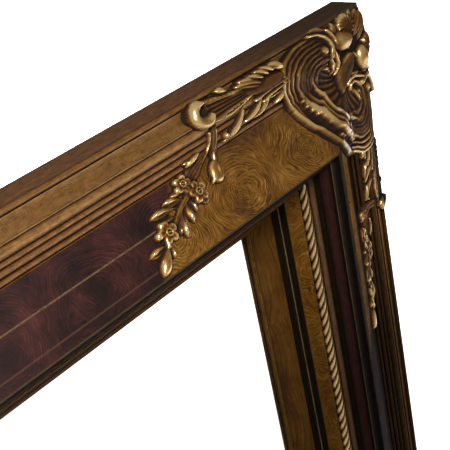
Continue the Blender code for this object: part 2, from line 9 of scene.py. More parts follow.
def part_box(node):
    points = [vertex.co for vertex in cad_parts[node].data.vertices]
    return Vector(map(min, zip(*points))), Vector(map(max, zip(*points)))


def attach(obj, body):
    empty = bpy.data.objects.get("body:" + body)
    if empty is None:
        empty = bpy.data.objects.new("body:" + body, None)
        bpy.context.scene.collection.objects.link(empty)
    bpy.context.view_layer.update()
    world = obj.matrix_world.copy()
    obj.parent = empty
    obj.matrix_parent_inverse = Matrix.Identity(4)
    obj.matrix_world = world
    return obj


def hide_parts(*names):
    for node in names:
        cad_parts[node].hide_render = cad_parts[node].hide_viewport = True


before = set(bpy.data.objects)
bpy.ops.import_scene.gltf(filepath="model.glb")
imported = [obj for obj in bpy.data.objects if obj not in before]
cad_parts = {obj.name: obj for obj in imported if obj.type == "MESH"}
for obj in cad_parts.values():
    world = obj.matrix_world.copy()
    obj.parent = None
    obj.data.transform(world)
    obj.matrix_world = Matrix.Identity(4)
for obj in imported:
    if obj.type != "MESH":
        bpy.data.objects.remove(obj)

"""Looks of a gilded cheval floor mirror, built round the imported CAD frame.

Millimetres are used for everything on the mouldings and the ornament, metres for the world.
Across a frame member, u runs in from the outer edge and h forward from the back plane; v is the
distance along its surface. Along a member, a runs from the outer corner.
"""

MM = 0.001
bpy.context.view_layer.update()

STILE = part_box("frame_stile_right")
TOP_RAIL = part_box("frame_rail_top")
BOTTOM_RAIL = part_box("frame_rail_bottom")
HALF_W = STILE[1].x
HALF_H = (TOP_RAIL[1].z - BOTTOM_RAIL[0].z) / 2
CENTRE_Z = (TOP_RAIL[1].z + BOTTOM_RAIL[0].z) / 2
BACK_Y = TOP_RAIL[1].y

# Cross-section of the frame, in millimetres
RIDGE = (83.0, 66.0)
SIGHT = (133.0, 9.0)
SLIP_U = 113.0
REBATE = (127.0, 6.0)
BACK_EDGE_U = 7.6
SIDE_FOOT_H = 16.0
SIDE_H = 36.5
ROPE_PLACE = 0.395
ROPE_R = 3.45
ROPE_SINK = 3.1
CHANNEL_R = 3.75
ROPE_PITCH = 8.5
ROPE_STRANDS = 3

SIDES = {
    # name: (outward direction, run direction, half size outwards, half size along the run)
    "top": (Vector((0, 0, 1)), Vector((1, 0, 0)), HALF_H, HALF_W),
    "bottom": (Vector((0, 0, -1)), Vector((1, 0, 0)), HALF_H, HALF_W),
    "left": (Vector((-1, 0, 0)), Vector((0, 0, 1)), HALF_W, HALF_H),
    "right": (Vector((1, 0, 0)), Vector((0, 0, 1)), HALF_W, HALF_H),
}
CORNERS = {
    # name: (rail, its end, stile, its end)
    "top_left": ("top", -1, "left", 1),
    "top_right": ("top", 1, "right", 1),
    "bottom_left": ("bottom", -1, "left", -1),
    "bottom_right": ("bottom", 1, "right", -1),
}


# ------------------------------------------------------------------ meshes

def colour(hex_code):
    """Linear RGB of an sRGB hex colour."""
    parts = [int(hex_code[k:k + 2], 16) / 255 for k in (0, 2, 4)]
    return tuple(c / 12.92 if c < 0.04045 else ((c + 0.055) / 1.055) ** 2.4 for c in parts)


def rgba(shade):
    """Colour with alpha, from a hex code or from linear RGB."""
    return (*(colour(shade) if isinstance(shade, str) else shade), 1.0)


def add_object(name, mesh, material, body, node):
    """A visible piece that rides on a body and stands in for a CAD node."""
    obj = bpy.data.objects.new(name, mesh)
    bpy.context.scene.collection.objects.link(obj)
    mesh.materials.clear()
    mesh.materials.append(material)
    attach(obj, body)
    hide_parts(node)
    return obj


def set_attribute(mesh, name, values):
    """Store a number or a colour for each vertex."""
    values = np.asarray(values, np.float32)
    if values.ndim == 1:
        layer = mesh.attributes.new(name, 'FLOAT', 'POINT')
        layer.data.foreach_set("value", values)
    else:
        layer = mesh.attributes.new(name, 'FLOAT_COLOR', 'POINT')
        colours = np.ones((len(values), 4), np.float32)
        colours[:, :3] = values
        layer.data.foreach_set("color", colours.ravel())


def quad_mesh(name, points, quads, smooth_angle=None):
    """A smoothly shaded mesh from arrays of points and of quads."""
    mesh = bpy.data.meshes.new(name)
    mesh.vertices.add(len(points))
    mesh.vertices.foreach_set("co", points.astype(np.float32).ravel())
    mesh.loops.add(quads.size)
    mesh.loops.foreach_set("vertex_index", quads.astype(np.int32).ravel())
    mesh.polygons.add(len(quads))
    mesh.polygons.foreach_set("loop_start", np.arange(0, quads.size, 4, dtype=np.int32))
    mesh.update(calc_edges=True)
    finish_shading(mesh, smooth_angle)
    return mesh


def tube_mesh(name, points, smooth_angle=None):
    """Closed tube through rings of points, each end closed by quads across the ring."""
    rings, around = points.shape[:2]
    index = np.arange(rings * around).reshape(rings, around)
    beside = np.roll(index, -1, axis=1)
    quads = np.stack([index[:-1], beside[:-1], beside[1:], index[1:]], axis=-1).reshape(-1, 4)
    caps = []
    for ring, turned in ((index[0], True), (index[-1], False)):
        for k in range(around // 2 - 1):
            quad = [ring[k], ring[k + 1], ring[around - 2 - k], ring[around - 1 - k]]
            caps.append(quad[::-1] if turned else quad)
    quads = np.concatenate([quads, np.array(caps)])
    points = points.reshape(-1, 3).astype(np.float32)
    corners = points[quads]
    normals = np.cross(corners[:, 2] - corners[:, 0], corners[:, 3] - corners[:, 1])
    if (normals * (corners.mean(axis=1) - points.mean(axis=0))).sum() < 0:
        quads = quads[:, ::-1]
    return quad_mesh(name, points, quads, smooth_angle)


def finish_shading(mesh, smooth_angle):
    mesh.shade_smooth()
    if smooth_angle is not None:
        mesh.set_sharp_from_angle(angle=math.radians(smooth_angle))


def loft_mesh(name, rings, smooth_angle):
    """Skin equal rings of points; returns the mesh with its vertices in ring order."""
    bm = bmesh.new()
    loops = [[bm.verts.new(point) for point in ring] for ring in rings]
    for first, second in zip(loops, loops[1:]):
        for i in range(len(first)):
            j = (i + 1) % len(first)
            bm.faces.new((first[i], first[j], second[j], second[i]))
    bm.faces.new(list(reversed(loops[0])))
    bm.faces.new(loops[-1])
    bmesh.ops.recalc_face_normals(bm, faces=bm.faces)
    if bm.calc_volume(signed=True) < 0:
        bmesh.ops.reverse_faces(bm, faces=bm.faces)
    mesh = bpy.data.meshes.new(name)
    bm.to_mesh(mesh)
    bm.free()
    finish_shading(mesh, smooth_angle)
    return mesh


def member_point(side, run, u, h):
    """World points on a frame member; run, u and h are arrays or numbers in metres."""
    outward, along, half_out, _ = SIDES[side]
    run, u, h = np.broadcast_arrays(run, u, h)
    points = np.zeros(run.shape + (3,))
    out = half_out - u
    for axis in (0, 2):
        points[..., axis] = outward[axis] * out + along[axis] * run
    points[..., 1] = BACK_Y - h
    points[..., 2] += CENTRE_Z
    return points


# ------------------------------------------------------------------ node materials

class Signal:
    """A node's output that can stand in sums and products."""

    def __init__(self, paint, socket):
        self.paint = paint
        self.socket = socket

    def __add__(self, other):
        return self.paint.math('ADD', self, other)

    def __sub__(self, other):
        return self.paint.math('SUBTRACT', self, other)

    def __rsub__(self, other):
        return self.paint.math('SUBTRACT', other, self)

    def __mul__(self, other):
        return self.paint.math('MULTIPLY', self, other)

    def __truediv__(self, other):
        return self.paint.math('DIVIDE', self, other)

    def clamped(self):
        self.socket.node.use_clamp = True
        return self


class Paint:
    """A material whose node tree is wired by short calls; colours are hex codes or linear RGB."""

    def __init__(self, name, **shader_values):
        self.material = bpy.data.materials.new(name)
        self.material.use_nodes = True
        self.tree = self.material.node_tree
        self.shader = self.tree.nodes["Principled BSDF"]
        self.finish(**shader_values)

    def finish(self, **shader_values):
        for socket, value in shader_values.items():
            self.put(self.shader.inputs[socket.replace("_", " ")], value)

    def put(self, socket, value):
        if isinstance(value, Signal):
            self.tree.links.new(value.socket, socket)
        elif socket.type == 'RGBA':
            socket.default_value = rgba(value)
        else:
            socket.default_value = value

    def add(self, kind, inputs, output=0, **settings):
        node = self.tree.nodes.new(kind)
        for key, value in settings.items():
            setattr(node, key, value)
        for key, value in inputs.items():
            self.put(node.inputs[key], value)
        return Signal(self, node.outputs[output])

    def math(self, operation, a, b=0.0):
        return self.add("ShaderNodeMath", {0: a, 1: b}, operation=operation)

    def attribute(self, name, output="Fac"):
        return self.add("ShaderNodeAttribute", {}, output, attribute_name=name)

    def position(self):
        return self.add("ShaderNodeTexCoord", {}, "Object")

    def vector(self, x, y, z=0.0):
        return self.add("ShaderNodeCombineXYZ", {0: x, 1: y, 2: z})

    def stretch(self, vector, *scale):
        return self.add("ShaderNodeMapping", {"Vector": vector, "Scale": scale})

    def noise(self, vector, scale, detail=3.0, roughness=0.55, distortion=0.0):
        return self.add("ShaderNodeTexNoise", {"Vector": vector, "Scale": scale, "Detail": detail,
                                               "Roughness": roughness, "Distortion": distortion})

    def band(self, value, low, high):
        """0 below low, 1 above high, smooth between."""
        values = {"Value": value, "From Min": low, "From Max": high}
        return self.add("ShaderNodeMapRange", values, interpolation_type='SMOOTHSTEP')

    def mix(self, factor, a, b, blend='MIX'):
        return self.add("ShaderNodeMix", {0: factor, 6: a, 7: b}, 2, data_type='RGBA',
                        blend_type=blend)

    def ramp(self, value, *stops):
        node = self.tree.nodes.new("ShaderNodeValToRGB")
        self.put(node.inputs[0], value)
        elements = node.color_ramp.elements
        while len(elements) < len(stops):
            elements.new(0.5)
        for element, (place, shade) in zip(elements, stops):
            element.position = place
            element.color = rgba(shade)
        return Signal(self, node.outputs[0])

    def bump(self, height, strength, distance):
        values = {"Height": height, "Strength": strength, "Distance": distance}
        self.finish(Normal=self.add("ShaderNodeBump", values))

    def roughness(self, value, low, high):
        """Roughness running from low to high as value goes from 0 to 1."""
        values = {"Value": value, "To Min": low, "To Max": high}
        self.finish(Roughness=self.add("ShaderNodeMapRange", values))


SWIRL_SPACING = 69.0
SWIRL_FIRST = 106.0


def swirl(paint, along, across, place):
    """Brush strokes round centres spaced along the member: (strokes 0 to 1, distance in mm)."""
    cell = (along - SWIRL_FIRST) / SWIRL_SPACING
    cell = cell + (paint.noise(place, 0.03, 2.0) - 0.5) * 0.5 + 0.5
    local = (paint.math('FRACT', cell) - 0.5) * SWIRL_SPACING
    distance = paint.math('SQRT', local * local + across * across + 0.5)
    reach = distance + (paint.noise(place, 0.05, 2.0) - 0.5) * 5.0
    heading = local / distance
    lift = across / distance + paint.math('FLOOR', cell) * 5.0
    broad = paint.noise(paint.vector(reach * 0.4, heading, lift), 1.0, 2.0, 0.5)
    fine = paint.noise(paint.vector(reach * 1.15, heading * 4.5, lift * 4.5), 1.0, 2.0, 0.55)
    clear = paint.band(paint.noise(place, 0.06, 2.0), 0.35, 0.6) * paint.band(distance, 46.0, 26.0)
    rings = paint.math('SINE', reach * 3.1) * clear * 0.10
    return (broad * 0.4 + fine * 0.7 + rings - 0.05).clamped(), distance


def painted_shading(paint, base, along):
    """Darkens a colour with painted shade: on the stiles by their shade attribute and, away from the
    corners, by their falloff attribute. On the rails, where the corner shade attribute is set, a
    grey-brown painted shade covers the paint close to the corners.
    """
    near = paint.band(along, 190.0, 50.0) * paint.attribute("corner_shade")
    base = paint.mix(near, base, "2a251e")
    far = paint.band(along, 130.0, 300.0) * paint.attribute("stile_falloff_shade")
    kept = paint.attribute("stile_shade") * (1.0 - far)
    return paint.mix(1.0, base, paint.vector(kept, kept, kept), 'MULTIPLY')


def gilt_moulding(name, **gloss):
    """Painted moulding: zone colours, and brushed gold or burgundy by the burl attribute."""
    paint = Paint(name, **gloss)
    along = paint.attribute("along")
    across = paint.attribute("across")
    place = paint.vector(along, across)
    strokes, distance = swirl(paint, along, paint.attribute("swirl_v"), place)
    blotch = paint.noise(place, 0.04, 3.0, 0.55)
    spread = strokes - 0.5
    level = (spread * 1.5 + (blotch * 0.6 + 0.18)).clamped()
    gold = paint.ramp(level, (0.05, "2a1504"), (0.30, "513109"), (0.52, "704a14"),
                      (0.76, "8c642a"), (0.95, "a98148"))
    # Painted shade over the cove and the panel next to the fillets, with darker blotches at random
    shade_and_blotches = paint.band(across, 106.0, 86.0) + paint.band(blotch, 0.50, 0.28)
    gold = paint.mix((shade_and_blotches * 0.5).clamped(), gold, "3c2618")
    wine_level = (spread * 1.1 + (blotch * 1.3 - 0.2)).clamped()
    wine = paint.ramp(wine_level, (0.12, "0e0604"), (0.40, "27120f"), (0.65, "381b18"),
                      (0.9, "482621"))
    wine = paint.mix(paint.band(distance, 13.0, 2.0) * 0.75, wine, "150b08")
    stripe = paint.band(across, 110.5, 111.0) * paint.band(across, 112.0, 111.5)
    stripe = stripe * paint.band(paint.noise(place, 0.3, 3.0), 0.1, 0.6)
    wine = paint.mix(stripe * 0.7, wine, "6e5738")
    line = paint.band(across, 131.3, 131.8) * paint.band(across, 133.0, 132.5)
    wine = paint.mix(line * 0.35, wine, "5c3f30")
    wobble = (paint.noise(place, 0.12, 3.0) - 0.5) * 12.0
    beyond = along + wobble - (across * 0.85 + 146.0)
    is_wine = paint.band(beyond, 0.0, 6.0) * paint.attribute("panel")
    streaks = paint.noise(paint.vector(along * 0.10, across), 0.8, 4.0, 0.65)
    worn = paint.noise(paint.vector(along * 0.6, across), 0.30, 5.0, 0.72)
    shade = streaks * 0.6 + worn * 0.9
    tone = paint.ramp(shade, (0.50, (0.22, 0.17, 0.12)), (0.70, (0.62, 0.54, 0.46)),
                      (0.95, (1.0, 0.98, 0.94)))
    plain = paint.mix(1.0, paint.attribute("paint", "Color"), tone, 'MULTIPLY')
    base = paint.mix(paint.attribute("burl"), plain, paint.mix(is_wine, gold, wine))
    paint.finish(Base_Color=painted_shading(paint, base, along))
    if "Coat_Weight" in gloss:
        paint.finish(Metallic=(1.0 - is_wine) * 0.25)
        paint.roughness(level, 0.46, 0.34)
    else:
        paint.roughness(level, 0.8, 0.65)
    paint.bump(strokes + shade * 0.7, 0.35, 0.3 * MM)
    return paint.material


def matt_paint():
    """Dark, rubbed paint of the sides, quirks and inner bands."""
    paint = Paint("matt_paint", Specular_IOR_Level=0.03)
    along = paint.attribute("along")
    across = paint.attribute("across")
    streaks = paint.noise(paint.vector(along * 0.08, across), 0.9, 4.0, 0.65)
    worn = paint.noise(paint.vector(along * 0.5, across), 0.25, 5.0, 0.7)
    specks = paint.noise(paint.vector(along, across), 1.6, 2.0, 0.6)
    shade = streaks * 0.6 + worn * 0.8
    tone = paint.ramp(shade, (0.45, (0.45, 0.42, 0.38)), (0.68, (0.85, 0.82, 0.78)),
                      (0.92, (1.3, 1.25, 1.15)))
    base = paint.mix(1.0, paint.attribute("paint", "Color"), tone, 'MULTIPLY')
    base = paint.mix(paint.band(specks, 0.72, 0.80) * 0.35, base, "9a8a74")
    paint.finish(Base_Color=painted_shading(paint, base, along))
    paint.roughness(shade, 0.85, 0.7)
    paint.bump(shade, 0.3, 0.2 * MM)
    return paint.material


def gilt_relief(name, recess, body, peak, bright):
    """Cast gilding: a level of 0 in the hollows, where dark wash and painted shade stay, up to 1 on
    rubbed high spots, which carry painted highlights in places.
    """
    paint = Paint(name, Specular_IOR_Level=0.15, Coat_Roughness=0.09)
    place = paint.position()
    mottle = paint.noise(place, 260.0, 4.0, 0.65)
    patches = paint.noise(place, 60.0, 3.0, 0.6)
    level = paint.attribute("wear_and_light") + (mottle - 0.5) * 0.35 + (patches - 0.5) * 0.3
    paint.finish(Base_Color=paint.ramp(level, (0.20, recess), (0.46, body), (0.70, peak),
                                       (0.92, bright)),
                 Coat_Weight=paint.band(level, 0.42, 0.8) * 0.95,
                 Metallic=paint.band(level, 0.3, 0.7) * 0.7)
    paint.roughness(level, 0.72, 0.2)
    paint.bump(mottle + paint.noise(place, 900.0, 2.0), 0.2, 0.15 * MM)
    return paint.material


def dark_walnut():
    """Dark stained wood with grain along the piece; gilded where gold is 1."""
    paint = Paint("dark_walnut", Specular_IOR_Level=0.5, Coat_Weight=0.35, Coat_Roughness=0.18)
    grain_place = paint.attribute("grain", "Vector")
    gold = paint.attribute("gold")
    rough = paint.noise(paint.stretch(grain_place, 60.0, 60.0, 3.5), 1.0, 5.0, 0.6, 0.6)
    pores = paint.noise(paint.stretch(grain_place, 420.0, 420.0, 12.0), 1.0, 3.0, 0.6)
    grain = rough * 0.7 + pores * 0.4
    wood = paint.ramp(grain, (0.32, "1c0e07"), (0.52, "3a2012"), (0.75, "5a361d"))
    mottle = paint.noise(paint.position(), 140.0, 4.0, 0.65)
    level = ((gold + (mottle - 0.5) * 0.9) * paint.band(gold, 0.02, 0.3)).clamped()
    gilding = paint.ramp(mottle, (0.3, "5a3a14"), (0.55, "a67a38"), (0.8, "d4ab66"))
    mask = paint.band(level, 0.35, 0.6)
    paint.finish(Base_Color=paint.mix(mask, wood, gilding), Metallic=mask * 0.75)
    paint.roughness(grain, 0.32, 0.48)
    paint.bump(grain, 0.2, 0.2 * MM)
    return paint.material


def metal(name, dark, light, low, high):
    """Aged metal: mottled tarnish with fine scratches."""
    paint = Paint(name, Metallic=1.0)
    place = paint.position()
    tarnish = paint.noise(place, 180.0, 4.0, 0.6)
    scratches = paint.noise(paint.stretch(place, 900.0, 120.0, 900.0), 1.0, 2.0)
    paint.finish(Base_Color=paint.ramp(tarnish, (0.35, dark), (0.65, light)))
    paint.roughness(tarnish, low, high)
    paint.bump(scratches, 0.12, 0.05 * MM)
    return paint.material


def plywood():
    paint = Paint("plywood_back", Specular_IOR_Level=0.3)
    place = paint.position()
    figure = paint.noise(paint.stretch(place, 14.0, 14.0, 1.1), 1.0, 4.0, 0.55, 1.6)
    pores = paint.noise(paint.stretch(place, 700.0, 700.0, 25.0), 1.0, 3.0, 0.6)
    paint.finish(Base_Color=paint.ramp(figure * 0.8 + pores * 0.3, (0.35, "7a5532"),
                                       (0.55, "a27a4e"), (0.75, "bd9868")))
    paint.roughness(pores, 0.62, 0.8)
    paint.bump(pores, 0.25, 0.2 * MM)
    return paint.material


def soft_grain(name, scale, noise, dark, light, roughness, bump, **shader_values):
    """Fine-grained dull material, for the felt and the rubber."""
    paint = Paint(name, **shader_values)
    grain = paint.noise(paint.position(), scale, *noise)
    paint.finish(Base_Color=paint.ramp(grain, (0.3, dark), (0.7, light)))
    paint.roughness(grain, *roughness)
    paint.bump(grain, *bump)
    return paint.material


def mirror_silver():
    """Silvered plate with a faint, uneven haze."""
    paint = Paint("mirror_silver", Metallic=1.0)
    haze = paint.noise(paint.position(), 9.0, 5.0, 0.7)
    paint.finish(Base_Color=paint.ramp(haze, (0.3, (0.86, 0.88, 0.88)), (0.6, (0.93, 0.94, 0.94))))
    paint.roughness(haze, 0.0, 0.02)
    return paint.material


# ------------------------------------------------------------------ cross-sections

SLOPE = Vector((SIGHT[0] - RIDGE[0], SIGHT[1] - RIDGE[1]))
SLOPE_OUT = Vector((-SLOPE.y, SLOPE.x)).normalized()


def on_slope(fraction, rise=0.0):
    """A point on the inner slope, raised from it by rise."""
    point = Vector(RIDGE) + SLOPE * fraction + SLOPE_OUT * rise
    return point.x, point.y


# Zone: (colour in the hollows, colour on the high parts); a painted highlight lightens each crest and
# painted shade darkens the middle of each hollow
ZONES = {
    "back": ("3c2b1c", "5a4129"),
    "side": ("46301f", "6b4d36"),
    "bead": ("341d0d", "86602f"),
    "quirk": ("1c0e06", "2e1a0d"),
    "cove": ("745226", "a07a46"),
    "lip": ("4f3417", "93703e"),
    "torus": ("4c3115", "9c7540"),
    "fillet": ("452a12", "93693a"),
    "panel": ("6e4410", "93651f"),
    "ridge": ("3a2d20", "4e4234"),
    "black": ("0b0806", "16110e"),
    "arris": ("2a221b", "4a4034"),
    "wine": ("190c0a", "321b18"),
    "brown": ("2b1c12", "604630"),
    "gold": ("3a220a", "6e4a1a"),
    "groove": ("0c0804", "211809"),
    "line": ("302820", "75654f"),
    "wide": ("3a240a", "6c4a1a"),
    "sight": ("4a3416", "7e5c2a"),
}
# Brushed zones: (share of brushwork in the colour, centre of the swirls across)
BRUSHED = {"cove": (0.45, 60.0), "panel": (1.0, 122.0), "gold": (0.55, 185.0), "wide": (0.75, 205.0)}

# Surface distance at the back edge, where counting starts
ACROSS_START = -1.0
# Painted shade on the stiles' outer slope, up to the edge given here: how bright it leaves the paint,
# by u; values over 1 are painted highlights, on the lip and along the middle of the panel
STILE_SHADE_EDGE = 82
STILE_SHADE_U = [-5, 4.3, 5.4, 15, 15.2, 17.5, 19, 21, 40, 42, 53, 57, 72, 77, 82, 86]
STILE_SHADE_SHARE = [.30, .45, .65, .65, 1.6, 1.6, 1.2, .26, .24, .08, .12, 1.6, 1.6, .28, .20, .85]
# Painted shade on the rails near the corners, by u
CORNER_SHADE_U = [4.2, 5.4, 15.0, 17.0]
CORNER_SHADE_SHARE = [0.65, 0.3, 0.2, 0.0]
DULL_ZONES = {"back", "side", "quirk", "ridge", "black", "arris", "wine", "brown", "groove"}
INNER_ZONES = {"gold", "line", "wide", "sight"}


def moulding_section():
    """Points (u, h, rise to the next, zone of the run to the next) round a rail or stile."""
    section = [
        (BACK_EDGE_U, 0, 0, "side"), (0, SIDE_FOOT_H, 0, "side"), (0, SIDE_H, 0, "side"),
        (0, 37.4, 2.1, "bead"),
        (4.2, 37.6, 0, "quirk"), (4.8, 37.3, 0, "quirk"), (5.4, 38.2, -1.7, "cove"),
        (15.2, 44, 0.25, "lip"), (16.6, 44, 0, "quirk"), (17.1, 42.8, 0, "quirk"),
        (17.5, 43, 1.95, "torus"), (25, 42.8, 0, "quirk"), (25.4, 42.1, 0, "quirk"),
        (25.8, 42.6, 0.95, "fillet"), (29.2, 42.5, 0, "quirk"), (29.7, 41.7, 0, "quirk"),
        (30.2, 42.2, 1.1, "fillet"), (34.4, 42, 0, "quirk"), (35, 41.1, 0, "quirk"),
        (35.8, 41.6, 0.9, "fillet"), (39.2, 41.4, 0, "quirk"), (39.8, 40.8, 0, "quirk"),
        (40.3, 41.6, 0, "panel"), (82.05, 65.4, 0, "panel"),
        (82.2, 65.5, 0.35, "ridge"),
    ]
    slope = [
        (0.014, 0, 0, "black"), (0.092, 0, 0.25, "arris"), (0.106, -0.1, 0, "groove"),
        (0.112, -0.9, 0, "groove"), (0.124, -0.1, 0.5, "wine"), (0.229, -0.1, 0, "groove"),
        (0.236, -1.5, 0, "groove"), (0.276, -1.5, 0, "groove"), (0.284, -0.4, 0.3, "brown"),
        (0.346, -0.4, 0, "groove"),
    ]
    section += [(*on_slope(f, rise), bow, zone) for f, rise, bow, zone in slope]
    half = CHANNEL_R / SLOPE.length
    section += [(*on_slope(ROPE_PLACE - half), 0, "groove"),
                (*on_slope(ROPE_PLACE - half, -ROPE_SINK), -CHANNEL_R + 0.05, "groove"),
                (*on_slope(ROPE_PLACE + half, -ROPE_SINK), 0, "groove"),
                (*on_slope(ROPE_PLACE + half), -0.25, "gold"),
                (*on_slope(0.597), 0, "groove"), (SLIP_U, on_slope(0.6)[1] - 0.3, 0, "back"),
                (SLIP_U, 0, 0, "back")]
    return section


def slip_section():
    """Points round the inner slip, from its back over the front to the rebate."""
    slope = [
        (0.602, -0.1, 0, "groove"), (0.630, -1.3, 0, "groove"), (0.650, -1.4, 0, "groove"),
        (0.659, -0.1, 0.2, "line"), (0.675, -0.1, 0, "groove"), (0.684, -1.2, -0.25, "groove"),
        (0.734, -1.2, 0, "groove"), (0.745, -0.1, 0.35, "wide"), (0.978, -0.1, 0.3, "sight"),
    ]
    section = [(SLIP_U + 0.05, 0, 0, "back")]
    section += [(*on_slope(f, rise), bow, zone) for f, rise, bow, zone in slope]
    section += [(132.9, 9.2, 0.25, "sight"), (133, 8.2, 0, "wide"), (133, REBATE[1], 0, "back"),
                (REBATE[0], REBATE[1], 0, "back"), (REBATE[0], 0, 0, "back")]
    return section


def expand(section, step=0.5):
    """Fine points round a section, with the zone of each and its height as a share of the bow."""
    outline = []
    count = len(section)
    for k, (u, h, rise, zone) in enumerate(section):
        start = Vector((u, h))
        end = Vector(section[(k + 1) % count][:2])
        chord = end - start
        length = chord.length
        if rise == 0:
            pieces = 2 if zone == "back" or length < 1.0 else max(2, round(length / 4))
            if zone == "panel" and length > 5.0:
                pieces = 24
            for j in range(pieces):
                outline.append((*(start + chord * j / pieces), zone, 0.5))
            continue
        half = length / 2
        radius = (half * half + rise * rise) / (2 * abs(rise))
        side = Vector((-chord.y, chord.x)).normalized() * math.copysign(1.0, rise)
        centre = (start + end) / 2 - side * (radius - abs(rise))
        sweep = math.atan2(half, radius - abs(rise))
        pieces = max(6, round(2 * sweep * radius / step))
        for j in range(pieces):
            angle = -sweep + 2 * sweep * j / pieces
            point = centre + side * radius * math.cos(angle)
            point += chord.normalized() * radius * math.sin(angle)
            top = 1.0 - (2 * j / pieces - 1.0) ** 2
            outline.append((*point, zone, top if rise > 0 else 0.35 + 0.5 * abs(2 * j / pieces - 1.0)))
    return outline


def sweep_member(name, side, section, paints, node):
    """A mitred frame member with the paint attributes along its surface."""
    outline = expand(section)
    u = np.array([p[0] for p in outline])
    h = np.array([p[1] for p in outline])
    zones = [p[2] for p in outline]
    share = np.array([p[3] for p in outline])[:, None]
    half_run = SIDES[side][3]
    runs = [place * (half_run - u * MM) for place in (-1.0, -0.5, 0.0, 0.5, 1.0)]
    mesh = loft_mesh(name, [member_point(side, run, u * MM, h * MM) for run in runs], 38)
    steps = np.hypot(np.diff(u), np.diff(h))
    across = np.concatenate([[ACROSS_START], steps]).cumsum()
    low, high = (np.array([colour(ZONES[z][k]) for z in zones]) for k in (0, 1))
    burl, centre = np.array([BRUSHED.get(z, (0.0, 0.0)) for z in zones]).T
    stile = side in ("left", "right")
    fields = {
        "across": across,
        "swirl_v": across - centre,
        "burl": burl,
        "panel": [z == "panel" for z in zones],
        # zone colours, with a painted highlight on crests and painted shade in hollows
        "paint": low + (high - low) * share,
        # painted shade on the stiles by u, with painted highlights on the lip and panel, and darker
        # further from the corners
        "stile_shade": np.interp(u, STILE_SHADE_U, STILE_SHADE_SHARE) if stile else np.ones(len(u)),
        "stile_falloff_shade": np.where(u < STILE_SHADE_EDGE, 0.6, 0.35) * stile,
        # painted shade on the rails near the corners
        "corner_shade": np.interp(u, CORNER_SHADE_U, CORNER_SHADE_SHARE) * (not stile),
    }
    set_attribute(mesh, "along", np.concatenate([(half_run - np.abs(run)) / MM for run in runs]))
    for field, values in fields.items():
        set_attribute(mesh, field, np.concatenate([values] * len(runs)))
    obj = add_object(name, mesh, paints[0], "mirror", node)
    for extra in paints[1:]:
        mesh.materials.append(extra)
    choice = [1 if z in DULL_ZONES else 2 if stile or z in INNER_ZONES else 0 for z in zones]
    strip = len(outline)
    for polygon in mesh.polygons:
        if len(polygon.vertices) == 4:
            corners = sorted(vertex % strip for vertex in polygon.vertices)
            first = corners[-1] if corners[0] == 0 and corners[-1] == strip - 1 else corners[0]
            polygon.material_index = choice[first]
    return obj


def build_mouldings(paints):
    for side in SIDES:
        kind = "rail" if side in ("top", "bottom") else "stile"
        node = "frame_%s_%s" % (kind, side)
        sweep_member("moulding_" + side, side, moulding_section(), paints, node)
        sweep_member("slip_moulding_" + side, side, slip_section(), paints,
                     "inner_slip_" + side)


def build_ropes(material):
    """Three-strand twisted beads, each lying in a channel of the inner slope."""
    around = 22
    centre = Vector(on_slope(ROPE_PLACE, -ROPE_SINK))
    angles = math.atan2(SLOPE_OUT.y, SLOPE_OUT.x) + math.tau * np.arange(around) / around
    for side in SIDES:
        half_run = SIDES[side][3]
        length = 2 * (half_run / MM - centre.x)
        place = np.linspace(-1.0, 1.0, int(length))[:, None]
        turn = place * length / 2 * math.tau / (ROPE_PITCH * ROPE_STRANDS)
        strand = np.abs(np.cos((angles - turn) * ROPE_STRANDS / 2))
        radius = ROPE_R * (0.66 + 0.34 * strand ** 0.55)
        u = (centre.x + radius * np.cos(angles)) * MM
        h = (centre.y + radius * np.sin(angles)) * MM
        mesh = tube_mesh("rope_" + side, member_point(side, place * (half_run - u), u, h))
        # The rails' ropes are painted darker than the stiles': painted shade. Strand crests are
        # lighter, a painted highlight on the rubbed gold.
        bright = 0.85 if side in ("left", "right") else 0.30
        set_attribute(mesh, "wear_and_light", (0.1 + bright * strand ** 1.2).ravel())
        add_object("twisted_bead_" + side, mesh, material, "mirror",
                   "rope_bead_" + side)


# ------------------------------------------------------------------ cast relief

CAST_STEP = 0.6                     # spacing of the grid that castings are drawn on
CAST_KEPT = 0.06                    # height over the sunk surround where a casting starts
CAST_BELOW = 0.5                    # depth of its underside under the sunk surround
# The smooth line that castings lie on: distance v over the mouldings, u, h, lean of its normal in
# degrees, and how far the surround of a casting sinks under it
BED_V = [31.0, 36.0, 38.6, 41.6, 46.0, 58.4, 65.2, 72.3, 77.7, 83.5, 88.0, 93.0, 136.3]
BED_U = [0.9, 0.0, 0.4, 2.5, 5.2, 15.5, 21.2, 27.5, 32.3, 37.5, 41.3, 45.6, 83.0]
BED_H = [31.0, 35.8, 38.4, 39.6, 40.3, 44.3, 45.0, 44.0, 43.4, 42.5, 42.8, 44.7, 66.0]
BED_LEAN = [90.0, 75.0, 45.0, 12.0, 8.0, 4.0, 0.0, -2.0, 6.0, 17.0, 25.0, 29.7, 29.7]
BED_SINK = [1.2, 1.2, 1.4, 1.6, 4.0, 2.2, 1.6, 1.9, 2.0, 2.2, 1.6, 1.2, 1.0]


def bed_point(v, lift):
    """(u, h) in metres of a point lifted off the bed by millimetres."""
    lean = np.radians(np.interp(v, BED_V, BED_LEAN))
    u = np.interp(v, BED_V, BED_U) - np.sin(lean) * lift
    h = np.interp(v, BED_V, BED_H) + np.cos(lean) * lift
    return u * MM, h * MM


def blurred(field, radius):
    """Separable Gaussian blur, radius in cells."""
    reach = int(radius * 2.5) + 1
    kernel = np.exp(-0.5 * (np.arange(-reach, reach + 1) / radius) ** 2)
    kernel /= kernel.sum()
    for axis in (0, 1):
        padded = np.concatenate([np.repeat(np.take(field, [0], axis), reach, axis), field,
                                 np.repeat(np.take(field, [-1], axis), reach, axis)], axis)
        parts = [weight * np.take(padded, range(k, k + field.shape[axis]), axis)
                 for k, weight in enumerate(kernel)]
        field = sum(parts)
    return field


